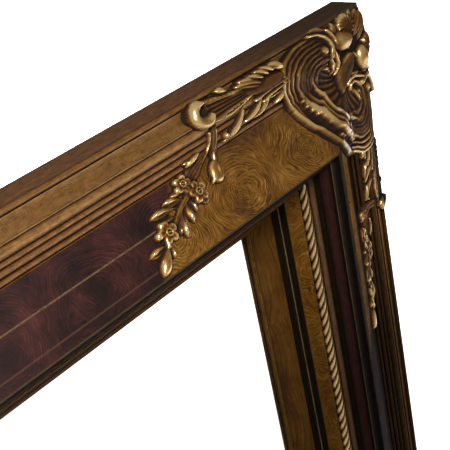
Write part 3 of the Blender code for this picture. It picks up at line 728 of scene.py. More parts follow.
class Relief:
    """Height of cast ornament over its bed, on a grid of a and v, and how dull its gilding is."""

    def __init__(self, a, v):
        self.a = a
        self.v = v
        self.height = np.full(a.shape, -20.0)
        self.dull = np.zeros(a.shape)

    def lay(self, height, inside, dull=0.0):
        over = inside & (height > self.height)
        self.height = np.where(over, height, self.height)
        self.dull = np.where(over, dull, self.dull)

    def axes(self, start, end, bend):
        """Share of the way from start to end, and distance to its right, for each point."""
        dx = end[0] - start[0]
        dy = end[1] - start[1]
        length = math.hypot(dx, dy)
        t = ((self.a - start[0]) * dx + (self.v - start[1]) * dy) / length ** 2
        s = ((self.v - start[1]) * dx - (self.a - start[0]) * dy) / length
        return t, s - bend * 4 * t * (1 - t)

    def leaf(self, start, end, width, height, bend=0.0, belly=0.5, crease=0.35, side=0.0,
             blunt=0.75, veins=0, dull=0.0):
        """Leaf from its root to its tip, widest at belly, with a crease to one side."""
        t, s = self.axes(start, end, bend)
        run = np.clip(t, 0.001, 0.999)
        form = np.sin(math.pi * run ** (math.log(0.5) / math.log(belly))) ** blunt
        q = s / np.maximum(width / 2 * form, 0.05)
        dome = np.sqrt(np.clip(1 - q * q, 0, 1))
        body = height * (0.22 + 0.78 * dome ** 0.85) * (0.42 + 0.58 * form)
        if veins:
            body = body - crease * height * (0.5 + 0.5 * np.cos(math.pi * q * veins)) * dome
        else:
            body = body - crease * height * np.exp(-((q - side) / 0.2) ** 2) * form
        self.lay(body, (t > 0) & (t < 1) & (np.abs(q) < 1), dull)

    def spoon(self, start, end, width, height, bend=0.0, side=1.0, belly=0.62):
        """Leaf whose tip swells to a bead on one side of a hollow."""
        self.leaf(start, end, width, height * 0.72, bend, belly, 0.55, -0.30 * side)
        dx = end[0] - start[0]
        dy = end[1] - start[1]
        length = math.hypot(dx, dy)
        off = 0.14 * width * side
        root = (start[0] + 0.34 * dx - off * dy / length, start[1] + 0.34 * dy + off * dx / length)
        tip = (start[0] + 0.93 * dx - off * dy / length, start[1] + 0.93 * dy + off * dx / length)
        self.leaf(root, tip, width * 0.50, height, bend * 0.5, belly, 0.0, 0.0, 0.55)

    def boss(self, centre, radius_a, radius_v, height, power=0.5, dull=0.0):
        d = ((self.a - centre[0]) / radius_a) ** 2 + ((self.v - centre[1]) / radius_v) ** 2
        self.lay(height * (0.2 + 0.8 * np.clip(1 - d, 0, 1) ** power), d < 1, dull)

    def rose(self, centre, radius, height, turn=0.0):
        """Five plump petals round a ringed button."""
        for k in range(5):
            angle = turn + math.tau * k / 5
            x = centre[0] + 0.62 * radius * math.cos(angle)
            y = centre[1] + 0.62 * radius * math.sin(angle)
            d = np.hypot(self.a - x, self.v - y) / (0.41 * radius)
            petal = height * (0.42 + 0.40 * np.clip(1 - d * d, 0, 1) ** 0.35)
            petal = petal - 0.22 * height * np.exp(-(d / 0.42) ** 2)
            self.lay(petal, d < 1)
        d = np.hypot(self.a - centre[0], self.v - centre[1]) / (0.46 * radius)
        ring = height * (0.30 + 0.68 * np.exp(-((d - 0.66) / 0.22) ** 2))
        ring = np.maximum(ring, height * (0.25 + 0.8 * np.exp(-(d / 0.27) ** 2)))
        self.height = np.where(d < 1.0, ring, self.height)
        self.dull = np.where(d < 1.0, 0.0, self.dull)

    def stem(self, path, width, height, groove=0.0, taper=1.0, dull=0.0):
        """Rounded rib along a path of points, narrowing to taper of its width."""
        spans = [math.dist(p, q) for p, q in zip(path, path[1:])]
        total = sum(spans)
        done = 0.0
        for start, end, span in zip(path, path[1:], spans):
            t, s = self.axes(start, end, 0.0)
            share = (done + np.clip(t, 0, 1) * span) / total
            past = np.maximum(np.maximum(-t, t - 1), 0) * span
            half = width / 2 * (1 + (taper - 1) * share)
            d = np.hypot(s, past) / half
            body = height * (0.3 + 0.7 * np.sqrt(np.clip(1 - d * d, 0, 1)))
            body = body - groove * height * np.exp(-(d / 0.3) ** 2)
            self.lay(body, d < 1, dull)
            done += span

    def finished(self):
        """Heights and gilding level after softening, with everything outside sunk under the mouldings;
        the level darkens the hollows with dark wash and painted shade, and lightens the high parts.
        """
        sink = -np.interp(self.v, BED_V, BED_SINK)
        web = blurred((self.height > 0.2).astype(float), 2.4)
        height = np.where((web > 0.52) & (self.height < 0.5), 0.5, self.height)
        height = np.maximum(height, sink)
        height = 0.45 * height + 0.55 * blurred(height, 0.75)
        inside = np.maximum(height, 0.0)
        near = inside - blurred(inside, 2.4)
        far = inside - blurred(inside, 6.0)
        # painted shade in the hollows and lighter high parts, with the dark wash; negative dullness
        # adds painted highlights
        wear_and_light = 0.34 + 0.44 * near + 0.10 * far - 0.22 * blurred(self.dull, 1.0)
        return height, np.clip(wear_and_light, 0.0, 1.0), sink


def faces_inward(top, low, kept):
    """True if the top cells' winding points down to the bottom grid."""
    cells = np.argwhere(kept)
    r, c = cells[len(cells) // 2]
    normal = np.cross(top[r + 1, c] - top[r, c], top[r, c + 1] - top[r, c])
    return float(np.dot(normal, top[r, c] - low[r, c])) < 0


def add_casting(name, top, low, kept, wear_and_light, material):
    """Closed piece from the kept cells of a top and a bottom grid of points."""
    rows, cols = kept.shape
    index = np.arange((rows + 1) * (cols + 1)).reshape(rows + 1, cols + 1)
    corners = [index[:-1, :-1], index[1:, :-1], index[1:, 1:], index[:-1, 1:]]
    cells = np.stack([c[kept] for c in corners], axis=-1)
    count = index.size
    under = cells[:, ::-1] + count
    walls = []
    padded = np.pad(kept, 1)
    for shift, (first, second) in (((-1, 0), (3, 0)), ((1, 0), (1, 2)), ((0, -1), (0, 1)),
                                   ((0, 1), (2, 3))):
        beside = np.roll(padded, (-shift[0], -shift[1]), (0, 1))[1:-1, 1:-1]
        edge = kept & ~beside
        p = corners[first][edge]
        q = corners[second][edge]
        walls.append(np.stack([q, p, p + count, q + count], axis=-1))
    quads = np.concatenate([cells, under, *walls])
    used = np.unique(quads)
    lookup = np.full(2 * count, -1)
    lookup[used] = np.arange(len(used))
    points = np.concatenate([top.reshape(-1, 3), low.reshape(-1, 3)])[used]
    quads = lookup[quads]
    if faces_inward(top, low, kept):
        quads = quads[:, ::-1]
    mesh = quad_mesh(name, points, quads)
    set_attribute(mesh, "wear_and_light", np.concatenate([wear_and_light.ravel(), np.zeros(wear_and_light.size)])[used])
    add_object("cast_" + name, mesh, material, "mirror", name)


def live_cells(height, sink):
    """Cells of the grid with a corner above the sunk surround."""
    live = height > sink + CAST_KEPT
    return live[:-1, :-1] | live[1:, :-1] | live[1:, 1:] | live[:-1, 1:]


def spray_relief():
    """Scrolled acanthus arm on the outer mouldings, with its spray of leaves, buds and roses."""
    a, v = np.meshgrid(np.arange(104, 272, CAST_STEP), np.arange(36, 135, CAST_STEP),
                       indexing="ij")
    cast = Relief(a, v)
    # fan of fine flutes, opening from its root towards the scroll
    reach = (a - 138) / 46.0
    middle = 55.6 - 1.2 * reach
    spread = (v - middle) / (3.4 + 5.4 * np.clip(reach, 0, 1))
    dish = 2.0 + 0.9 * spread ** 2 + 0.8 * np.cos(spread * 17)
    rim = 1.5 * np.exp(-((np.abs(spread) - 0.93) / 0.10) ** 2)
    inside = (reach > -0.08) & (reach < 1.02) & (np.abs(spread) < 1)
    cast.lay(dish + rim, inside, np.where(np.abs(spread) < 0.85, 0.15, 0))
    # rolled end: a thick lip curled into a C, open towards the fan
    da = a - 189.4
    dv = v - 51.0
    radius = np.hypot(da, dv)
    angle = np.degrees(np.arctan2(dv, da))
    half = np.interp(angle, [-120, -95, -60, -20, 40, 90, 130, 160],
                     [0.4, 2.8, 4.4, 4, 4.8, 4.8, 3.4, 0.4])
    lip = 2.0 + 6.6 * np.clip(1 - ((radius - 7.2) / half) ** 2, 0, 1) ** 0.5
    cast.lay(lip, (np.abs(radius - 7.2) < half) & (angle > -120) & (angle < 160))
    # The hollow inside the curl is dulled darker: painted shade.
    cast.lay(1.4 + 0.05 * radius ** 2, radius < 7, 0.6)
    cast.stem([(183.5, 60.8), (176, 63), (164, 63.4), (150, 61.4), (140, 58.8)], 2.6, 3.2,
              0, 0.8)
    cast.boss((184.6, 54.8), 2.2, 2.2, 5.6)
    # lip and small leaf on the upper rim of the fan
    cast.stem([(184, 45.4), (174, 47), (162, 50.6), (148, 53.6)], 3.2, 2.8, 0, 0.7, 0.35)
    cast.leaf((158.5, 48.6), (171, 42), 6.2, 4.8, -0.6, 0.62, 0.15, -0.4)
    # hand of leaves between the fan and the corner piece
    cast.leaf((104, 58), (146, 56.5), 11, 4.6, 1, 0.45, 0, 0, 0.5, 0, 0.25)
    cast.leaf((128, 56), (153.5, 48.5), 7.4, 5.8, -1.6, 0.42, 0.30, 0.25)
    cast.leaf((131, 53.5), (149.5, 46), 4.4, 5.6, -1.4, 0.5, 0.2, 0.3)
    for root, tip in (((124.5, 53), (141, 45.6)), ((118.5, 52.6), (133, 44.8)),
                      ((113, 52), (126.5, 44.4))):
        cast.leaf(root, tip, 4.6, 5.8, -0.9, 0.48, 0, 0, 0.6)
    cast.leaf((103, 53.5), (118.5, 46), 7.4, 6.4, -1, 0.52, 0.10, 0.3, 0.5)
    cast.stem([(104, 62), (118, 62.6), (130, 63.5), (139, 65)], 3.4, 3.8, 0, 0.8)
    # leaves that hang over the lower rim
    cast.leaf((131, 61.5), (153, 77), 5, 4.8, 3.6, 0.58, 0.12, 0.2)
    cast.leaf((122, 63.5), (146.5, 77.6), 4.8, 4.6, 3.8, 0.58, 0.12, -0.2)
    cast.stem([(104, 65), (114, 66), (124, 67.2), (131, 69.4)], 3, 3.4, 0, 0.8)
    cast.stem([(104, 68.4), (112, 69.6), (122, 70.4)], 2.2, 2.8, 0, 0.6)
    cast.leaf((150, 63), (175.5, 82), 6, 5.4, 4, 0.62, 0.22, 0.25)
    cast.boss((172, 77.8), 2.5, 3.2, 5.4)
    cast.leaf((153, 68), (162.5, 80), 4.2, 3, 1.2, 0.55, 0.3, 0, 0.7, 0, 0.5)
    cast.leaf((106, 66.5), (119.5, 77.5), 5.4, 4.8, 1.4, 0.6, 0.12, 0.2)
    # stalk to the big bud and the veined leaf beside it
    cast.leaf((182, 60), (187, 96), 8.6, 2.7, 1.6, 0.5, 0.30, 0, 0.4, 3, 0.2)
    cast.stem([(180.5, 68), (181.6, 76), (184, 84), (185.5, 90)], 1.4, 2.9)
    cast.stem([(186.5, 68), (187.5, 76), (191.5, 83), (197, 87)], 1.3, 2.6)
    cast.leaf((186, 80), (216, 94.5), 12.5, 2.8, -1, 0.64, 0.30, 0, 0.5, 5, 0.3)
    cast.leaf((183, 82), (187.5, 96.5), 4.2, 4, -1, 0.55, 0.2, 0.3)
    cast.leaf((187.5, 90), (193.2, 104.8), 11.6, 5.2, 0, 0.56, 0, 0, 0.36)
    cast.leaf((187.5, 92), (190.5, 103.5), 3.8, 5.9, -0.6, 0.5, 0, 0, 0.5)
    cast.leaf((191, 91), (198, 103.5), 4.8, 5.2, 1.6, 0.5, 0.3, -0.2)
    cast.leaf((198, 77.5), (212, 83.5), 6, 4.4, 0, 0.6, 0, 0, 0.55)
    cast.leaf((206, 79), (214.5, 80.5), 2.8, 2.6)
    # spray: centre rib, then leaves above it
    cast.stem([(213, 97), (221, 100.8), (230, 104.5), (238, 109.5), (246, 113.5)], 4.2, 3,
              0.3, 0.7)
    cast.spoon((218, 98.5), (233.5, 94.5), 3.8, 3.8, -0.5, 1, 0.7)
    cast.spoon((223, 101.5), (242, 97.2), 6.4, 4.4, -1, -1, 0.66)
    cast.spoon((229, 104.5), (254.5, 100.2), 6.6, 5, -1.6, -1, 0.72)
    cast.spoon((234, 107.5), (250, 105.6), 4.2, 3.4, -0.6, 1)
    # leaves below it
    cast.spoon((219.5, 99.5), (220.5, 112.5), 4, 3.4, -0.8, 1)
    cast.spoon((223, 101.5), (226.5, 117.5), 6.6, 4.6, -1.4, -1)
    cast.spoon((229.5, 104.5), (237, 123), 8.8, 5.2, -1.4, -1)
    cast.spoon((235.5, 108.5), (241.5, 119), 4.4, 3.6, -0.8, 1)
    # pair of roses on their leaves
    cast.leaf((208, 100), (211, 111.5), 11, 3, 0, 0.55, 0.3, 0, 0.5)
    cast.leaf((211, 103), (220, 108), 4.6, 3.4, 0.6, 0.55, 0.3)
    cast.boss((225.8, 94.2), 2.6, 2.6, 4.6)
    cast.boss((224.4, 89.2), 2.3, 2.5, 4.2)
    cast.rose((220, 92.4), 6.9, 5.4, 0.5)
    cast.rose((212.2, 101.8), 7.4, 5.8, 1)
    # third rose and the buds at the end
    cast.boss((256.2, 111.6), 3.2, 3, 4.8)
    cast.boss((250.8, 107), 2.9, 2.6, 4.6)
    cast.rose((248.8, 112.6), 7.4, 5.8, 0.9)
    cast.stem([(252.5, 116), (254, 119.5)], 4, 4.2)
    cast.spoon((253.5, 118), (270, 119.6), 6.2, 4.8, 0, -1, 0.62)
    cast.leaf((253, 118.5), (268.5, 133.2), 8.2, 5.6, 0, 0.66, 0, 0, 0.55)
    cast.leaf((255, 121), (264, 129.5), 2.6, 6.2, 0, 0.6)
    cast.spoon((252, 118), (254.8, 128), 4.6, 4.2, 0, 1, 0.6)
    return cast


# The stile's spray is the rail's, shortened and narrowed: (from, to) along and across
STILE_REACH = ((104.0, 204.0, 213.0, 272.0), (104.0, 168.0, 180.0, 259.0))
STILE_ACROSS = ((36.0, 74.0, 140.0), (36.0, 74.0, 106.0))
# and over this stretch of v its relief is lower, and darker on the outer side with painted shade
STILE_LOW_SHADED_V = (52.0, 62.0)


def build_sprays(material):
    cast = spray_relief()
    height, wear_and_light, sink = cast.finished()
    kept = live_cells(height, sink)
    for corner, (rail, rail_end, stile, stile_end) in CORNERS.items():
        for kind, side, end in (("rail", rail, rail_end), ("stile", stile, stile_end)):
            a, v, raised, rubbed_and_lit = cast.a, cast.v, height, wear_and_light
            if kind == "stile":
                a = np.interp(a, *STILE_REACH)
                v = np.interp(v, *STILE_ACROSS)
                raised = np.where(height > 0, height * np.interp(v, STILE_LOW_SHADED_V, [0.5, 0.75]), height)
                # On the stiles the outer side of the relief is painted darker: painted shade.
                rubbed_and_lit = wear_and_light * np.interp(v, STILE_LOW_SHADED_V, [0.05, 0.95])
            run = end * (SIDES[side][3] - a * MM)
            top, low = (member_point(side, run, *bed_point(v, lift))
                        for lift in (raised, sink - CAST_BELOW))
            add_casting("%s_spray_%s" % (kind, corner), top, low, kept, rubbed_and_lit, material)


# The corner shell: radii of its rim and of its inner edge about SHELL_CENTRE, by angle
SHELL_CENTRE = (62.0, 80.0)
RIM_ANGLE = [-115, -90, -74, -50, -36, -27, -13, -5, 3, 18, 34, 50, 60, 67, 72, 80, 95, 115]
RIM_RADIUS = [36, 36, 37.5, 44.0, 49.0, 51.0, 49.2, 47.0, 45.4, 44.8, 45.2, 46.9, 49.7, 52.6, 54.7,
              57.0, 58.0, 55.0]
INNER_ANGLE = [-115, -45, 0, 50, 60, 70, 82, 89, 97, 115]
INNER_RADIUS = [8.0, 9.0, 9.5, 14.5, 19.0, 23.0, 27.0, 30.5, 35.0, 38.0]
# Ribs of the shell at RIB_ANGLE: (level from rim 0 to inner edge 1, half width in levels, height)
RIB_ANGLE = [-105, -45, 0, 25, 50, 75, 100]
RIBS = [
    ([.05, .05, .05, .06, .07, .10, .11], [.035, .035, .040, .045, .048, .048, .045],
     [2.6, 2.8, 3.8, 4.6, 5.2, 5.4, 5.2]),
    ([.17, .16, .15, .15, .18, .23, .24], [.030, .030, .045, .040, .02, .02, .02],
     [3.2, 3.2, 4.6, 4.2, 2.2, 1.8, 1.8]),
    ([.29, .28, .26, .26, .29, .33, .34], [.030, .030, .040, .035, .02, .02, .02],
     [3.7, 3.7, 4.6, 4.0, 2.6, 2.2, 2.2]),
    ([.41, .40, .39, .42, .45, .49, .51], [.030, .030, .050, .080, .105, .090, .075],
     [4.2, 4.2, 5.2, 6.6, 8.0, 7.6, 6.8]),
    ([.53, .52, .52, .60, .66, .67, .68], [.030, .030, .035, .050, .055, .050, .045],
     [4.5, 4.6, 5.2, 6.2, 6.8, 7.0, 6.4]),
    ([.65, .65, .65, .71, .755, .76, .77], [.030, .030, .030, .025, .025, .025, .025],
     [4.8, 4.9, 5.2, 5.2, 5.2, 5.4, 5.4]),
    ([.77, .77, .79, .84, .86, .87, .87], [.030, .035, .05, .070, .075, .065, .055],
     [5.0, 5.2, 6.2, 7.2, 7.8, 7.4, 6.6]),
    ([.92, .92, .93, .97, .99, .99, .99], [.035, .035, .045, .03, .03, .03, .03],
     [5.2, 5.4, 5.6, 5.0, 4.8, 4.6, 4.6]),
]


def cartouche_relief():
    """One half of the corner shell, from the mitre outwards; the other half mirrors it."""
    beyond, v = np.meshgrid(np.arange(0, 110, CAST_STEP), np.arange(33, 137, CAST_STEP),
                            indexing="ij")
    a = np.interp(v, BED_V, BED_U) + beyond
    cast = Relief(a, v)
    dx = a - SHELL_CENTRE[0]
    dy = v - SHELL_CENTRE[1]
    far = np.hypot(dx, dy)
    angle = np.degrees(np.arctan2(dy, dx))
    rim = np.interp(angle, RIM_ANGLE, RIM_RADIUS)
    inner = np.interp(angle, INNER_ANGLE, INNER_RADIUS)
    level = (rim - far) / (rim - inner)
    wave = 0.016 * np.sin(np.radians(angle) * 9) + 0.006 * np.sin(np.radians(angle) * 23.0 + 1)
    wave = wave * np.clip((angle + 40) / 60, 0.25, 1)
    shell = (angle > -112) & (angle < 118)
    top = np.clip((-angle - 20) / 30, 0, 1)
    plate = np.interp(level, [0, 0.12, 0.25, 0.34, 0.45, 0.8, 1], [1.4, 2.8, 2, 2.6, 5, 5.4, 4])
    plate = plate + 0.4 * np.cos(level * 78)
    plate = plate * (1 - top) + top * np.interp(level, [0, 0.5, 1], [1.8, 3.4, 4.2])
    cast.lay(plate, shell & (level > 0) & (level < 1.02), 0.2 + 0.1 * top)
    for k, (places, widths, heights) in enumerate(RIBS):
        place = np.interp(angle, RIB_ANGLE, places)
        width = np.interp(angle, RIB_ANGLE, widths)
        height = np.interp(angle, RIB_ANGLE, heights)
        swing = wave * (1.0 if k else 0.7) + 0.005 * np.sin(np.radians(angle) * 15.0 + 2.0 * k)
        d = (level - place - swing) / width
        body = plate + (height - plate) * np.sqrt(np.clip(1 - d * d, 0, 1))
        # Ribs on the lower side are brightened: rubbed gold and painted highlight.
        rubbed_and_lit = np.clip((angle - 15) / 25, 0, 1) if k in (3, 4, 6) else 0.0
        cast.lay(body, shell & (np.abs(d) < 1), 0.3 * top - 1.2 * rubbed_and_lit)
    # teeth on the outer edge of the main band
    place = np.interp(angle, RIB_ANGLE, RIBS[3][0]) + wave - 0.085
    d = (level - place) / 0.05
    tooth = 0.5 + 0.5 * np.cos(np.radians(angle) * 42)
    body = 2.2 + 4.4 * tooth * np.sqrt(np.clip(1 - d * d, 0, 1))
    cast.lay(body, (np.abs(d) < 1) & (angle > 12) & (angle < 92) & (tooth > 0.25))
    for x, y, size in ((72.6, 121.6, 2), (71.8, 126.4, 2.2), (75.2, 125.4, 1.7), (76.6, 130, 1.8)):
        cast.boss((x, y), size, size, 6.2)
    # fluted fan inside the shell
    spread = np.degrees(np.arctan2(v - 86, a - 38))
    out = np.hypot(v - 86, a - 38)
    curl = spread + 0.9 * np.clip(out - 8, 0, 40)
    dish = 3.0 + 0.55 * np.cos(np.radians(curl) * 30) + 0.05 * np.clip(out - 8, 0, 30)
    fan = (level > 0.98) & (v > 72) & (a < 84)
    cast.lay(dish, fan & (v < 114), 0.25)
    # smooth lobe on the mitre
    centre_u = np.interp(v, BED_V, BED_U)
    along_mitre = (a + centre_u) / 2 - 40.5
    off_mitre = (a - centre_u) / 2
    d = (along_mitre / 12.5) ** 2 + (off_mitre / 5.2) ** 2
    cast.lay(4.2 + 4.2 * np.clip(1 - d, 0, 1) ** 0.5, d < 1, 0.35)
    # curls and ribs between the shell and the lobe
    cast.stem([(56, 81.5), (52, 79), (50, 74), (52.5, 69), (58.5, 66.5), (66, 67.5)],
              2.8, 5.2, 0, 0.8)
    cast.stem([(52, 84.5), (47.5, 80), (46, 73), (48.5, 66), (50.5, 60.5)], 3.2, 6.2, 0, 0.9)
    cast.stem([(46, 83), (43.6, 76), (44.5, 68.5)], 2.4, 5.2, 0, 0.8)
    cast.leaf((70, 70.5), (56.5, 75.5), 5, 6, 0.6, 0.6, 0, 0, 0.5)
    # lip that runs up from the curls to the rim
    cast.stem([(53.5, 66), (51, 60), (51.5, 54), (55, 49), (61.5, 44.8), (69, 42.6)],
              5.4, 6.4, 0, 0.5)
    cast.stem([(46, 62), (45, 55), (47, 49), (50, 45)], 4, 6, 0, 0.7)
    cast.boss((60, 58.6), 4.4, 4.4, 6.8)
    # leaves over the outer corner, veined towards the boss
    cast.lay(np.full(a.shape, 1.8), (a < 50) & (v > 41.5) & (v < 84), 0.3)
    cast.leaf((47, 47.5), (66, 39.5), 6.4, 3.8, -0.8, 0.45, 0.2, 0.3, 0.75, 0, 0.2)
    for root, tip, width in (((42, 55), (41, 41), 5.4), ((37, 52.5), (33, 39.5), 6),
                             ((32, 51.5), (24.5, 39), 6.4), ((27.5, 52.5), (16, 39.5), 7),
                             ((24.5, 56), (8.5, 41), 7.6)):
        cast.leaf(root, tip, width, 5.6, 0.5, 0.5, 0.25, 0.1)
    cast.leaf((23, 62), (6, 44), 9.5, 6.4, 0, 0.6, 0.12, 0, 0.6)
    # large boss under a veined cap; its gilding is brightened, partly as a painted highlight
    cast.boss((36.5, 58.5), 10.6, 9.4, 9, 0.5, -1)
    cap = np.hypot(a - 30, v - 49)
    veins = 8.6 - 0.02 * cap ** 2 + 0.5 * np.cos(np.arctan2(v - 49, a - 30) * 14)
    cast.lay(veins - 0.6, (cap < 9) & (v < 56), 0.25)
    cast.leaf((47, 63), (28, 70), 4, 5.6, 1.8, 0.5, 0)
    # ease the fold where the two panels meet
    fold = np.interp(v, [80, 94], [0, 1.3]) * np.exp(-beyond / 5)
    cast.height = np.where(cast.height > 0.5, np.maximum(cast.height - fold, 0.5), cast.height)
    return cast, beyond


def mirrored(half):
    """A grid of one half of the shell joined at the mitre to its reflection."""
    return np.concatenate([half[:0:-1], half])


def build_cartouches(material):
    cast, beyond = cartouche_relief()
    whole = Relief(mirrored(cast.a), mirrored(cast.v))
    whole.height = mirrored(cast.height)
    whole.dull = mirrored(cast.dull)
    height, wear_and_light, sink = (field[len(beyond) - 1:] for field in whole.finished())
    # The gilding dulls towards the lower rim near the mitre: painted shade.
    worn = mirrored(wear_and_light * np.interp(cast.v, [106.0, 118.0], [1.0, 0.8]))
    kept = live_cells(height, sink)
    kept = np.concatenate([kept[::-1], kept])
    for corner, (rail, rail_end, stile, stile_end) in CORNERS.items():
        grids = []
        for lift in (height, sink - CAST_BELOW):
            u, h = bed_point(cast.v, lift)
            on_rail, on_stile = (member_point(side, end * (SIDES[side][3] - u - beyond * MM), u, h)
                                 for side, end in ((rail, rail_end), (stile, stile_end)))
            grids.append(np.concatenate([on_rail[::-1], on_stile[1:]]))
        add_casting("corner_cartouche_" + corner, *grids, kept, worn, material)


# ------------------------------------------------------------------ stand

TURNED_SIDES = 64


def smooth_stations(stations, step):
    """Columns of (place, radius, gold) rows, resampled with eased curves between them."""
    rows = []
    for first, second in zip(stations, stations[1:]):
        start, end = np.array(first, float), np.array(second, float)
        pieces = max(1, math.ceil(abs(end[0] - start[0]) / step))
        for t in np.arange(pieces) / pieces:
            share = np.full(len(start), t)
            share[1] = t * t * (3 - 2 * t)
            rows.append(start + (end - start) * share)
    return np.array(rows + [stations[-1]], float).T[:, :, None]


def add_wood(name, smooth_angle, points, local, gold, material, node):
    """Stand piece with its grain along the local Z, and gold where it is gilded."""
    mesh = tube_mesh(name, points, smooth_angle)
    layer = mesh.attributes.new("grain", 'FLOAT_VECTOR', 'POINT')
    layer.data.foreach_set("vector", local.astype(np.float32).ravel())
    set_attribute(mesh, "gold", gold.ravel())
    add_object(name, mesh, material, "stand", node)


def turned_piece(node, rows, axis, centre, material, step=2.5):
    """Turned body; rows are (place along the axis, radius, gold, squareness if not round)."""
    place, radius, gold, square = smooth_stations([(*row, 0)[:4] for row in rows], step)
    angle = math.tau * np.arange(TURNED_SIDES) / TURNED_SIDES
    power = 2.0 + 14.0 * square
    reach = radius / (np.abs(np.cos(angle)) ** power + np.abs(np.sin(angle)) ** power) ** (1 / power)
    local = np.stack(np.broadcast_arrays(reach * np.cos(angle), reach * np.sin(angle), place), -1) * MM
    points = np.array(centre) + (local if axis == 'Z' else local[..., [2, 0, 1]])
    add_wood("turned_" + node, 42, points, local, np.repeat(gold, TURNED_SIDES), material, node)


def post_rows(height, half):
    """Turned post with square blocks, above its foot."""
    turned = [
        (127, 16.8, 0), (130, 19.5, .4), (134, 21.3, 1), (138, 19.5, .4), (141, 15.6, 0),
        (147, 14.8, 0), (169, 19.8, 0), (199, 21.6, 0), (241, 17.2, 0), (272, 12.4, 0),
        (275, 12.2, 0), (277, 15.0, .5), (281, 17.2, 1), (284, 14.6, .4), (287, 17.2, 1),
        (291, 15.0, .5), (293, 12.6, 0), (312, 14.2, 0), (515, 17.6, 0), (715, 15.4, 0),
        (804, 12.4, 0), (807, 12.2, 0), (809, 15.0, .5), (813, 17.2, 1), (817, 15.0, .5),
        (820, 12.4, 0), (839, 14.8, 0), (858, 20.4, 0), (863, 21.2, 1), (868, 20.4, .6),
        (872, 17.4, 0),
    ]
    return [(0, half - 2, 0, 1), (2, half, 0, 1), (118, half, 0, 1), (121, half - 1.5, 0, 0.6),
            *turned, (878, half - 1.5, 0, 0.6), (881, half, 0, 1), (height - 4, half, 0, 1),
            (height - 1.5, half - 1.8, 0.6, 1), (height, half - 4, 0.6, 1)]


FINIAL_ROWS = [(0, 15.0, .3), (1.5, 16.6, 1), (5, 17.0, 1), (8.5, 14.2, .4), (13, 8.8, 0),
               (16, 8.6, 0), (20, 11.2, .6), (31, 18.2, 0), (44, 21.4, 0), (52, 21.0, 0),
               (60, 18.4, 0), (70, 11.0, .2), (75, 8.6, .4), (78, 10.0, 1), (82, 12.0, 1),
               (88, 12.2, 1), (96, 8.6, 1), (104, 3.8, 1), (108.8, 1.0, 1)]
# The stretcher, from its end to its middle
STRETCHER_ROWS = [(0, 10.0, 1), (1.5, 12.6, 1), (4.5, 13.2, 1), (8, 12.6, 1), (11, 9.8, .2),
                  (20, 9.0, 0), (60, 12.4, 0), (150, 12.0, 0), (228, 9.4, 0), (231, 9.6, .5),
                  (234, 12.6, 1), (238, 13.2, 1), (241, 11.0, .4), (244, 13.2, 1), (248, 12.6, 1),
                  (252, 9.8, 0), (300, 14.4, 0), (335, 16.4, 0), (366, 11.0, 0), (371, 10.4, .4),
                  (376, 13.0, 1), (384, 15.6, 1)]


def build_turnings(material):
    for hand in ("left", "right"):
        for kind, step in (("post_", 2.5), ("finial_", 1.5)):
            low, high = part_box(kind + hand)
            foot = ((low.x + high.x) / 2, (low.y + high.y) / 2, low.z)
            rows = FINIAL_ROWS
            if kind == "post_":
                rows = post_rows((high.z - low.z) / MM, (high.x - low.x) / 2 / MM)
            turned_piece(kind + hand, rows, 'Z', foot, material, step)
    low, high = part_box("stretcher")
    half = (high.x - low.x) / 2 / MM
    rows = [(x - half, r, gold) for x, r, gold in STRETCHER_ROWS]
    rows += [(-x, r, gold) for x, r, gold in reversed(rows)]
    turned_piece("stretcher", rows, 'X', (low + high) / 2, material)


def leg_spine():
    """Upper and lower edge of a leg as matched points (distance from the post's axis, height)."""
    def bezier(p0, p1, p2, p3, steps):
        t = np.linspace(0.0, 1.0, steps)[:, None]
        p0, p1, p2, p3 = (np.array(p, float) for p in (p0, p1, p2, p3))
        s = 1 - t
        return s ** 3 * p0 + 3 * s * s * t * p1 + 3 * s * t * t * p2 + t ** 3 * p3

    upper = np.concatenate([bezier((23.3, 158), (95, 160), (120, 98), (178, 68), 30)[:-1],
                            bezier((178, 68), (205, 55), (222, 44), (244, 45), 14)[:-1],
                            bezier((244, 45), (261, 45.5), (268.6, 36), (268.4, 24), 16)])
    lower = np.concatenate([bezier((23.3, 54), (64, 62), (90, 82), (118, 66), 27)[:-1],
                            bezier((118, 66), (150, 48), (190, 24), (222, 6.5), 22)[:-1],
                            bezier((222, 6.5), (236, 5.5), (252, 5.5), (264, 8.0), 11)])
    return upper, lower


def build_legs(material):
    """Splayed legs with rounded edges and a sunk, gilded line along each cheek."""
    upper, lower = (edge[:, None] * MM for edge in leg_spine())
    around = 40
    squareness = 7.0
    line_place, line_width, gold_width, line_depth = 0.78, 0.06, 0.07, 0.035
    toe_rings, toe_narrowing = 5, 0.25
    angle = math.tau * np.arange(around) / around
    c, s = (np.copysign(np.abs(wave) ** (2 / squareness), wave)
            for wave in (np.cos(angle), np.sin(angle)))
    cheek = np.abs(c) > 0.9
    off_line = np.abs(s) - line_place
    groove = 1.0 - line_depth * np.exp(-(off_line / line_width) ** 2) * cheek
    toe = np.clip(np.arange(toe_rings - len(upper), toe_rings) / toe_rings, 0, 1)[:, None]
    sideways = c * groove * (1 - toe_narrowing * toe ** 3)
    y, z = np.moveaxis((upper + lower) / 2 + (upper - lower) / 2 * s[:, None], -1, 0)
    gold = np.tile(np.exp(-(off_line / gold_width) ** 2) * cheek, len(upper))
    for hand in ("left", "right"):
        for place, facing in (("front", -1), ("back", 1)):
            node = "leg_%s_%s" % (place, hand)
            low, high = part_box(node)
            x = (high.x - low.x) / 2 * sideways
            local = np.stack([x, z, facing * y], axis=-1)
            points = np.stack([(low.x + high.x) / 2 + x, facing * y, z], axis=-1)
            add_wood("carved_" + node, 48, points, local, gold, material, node)


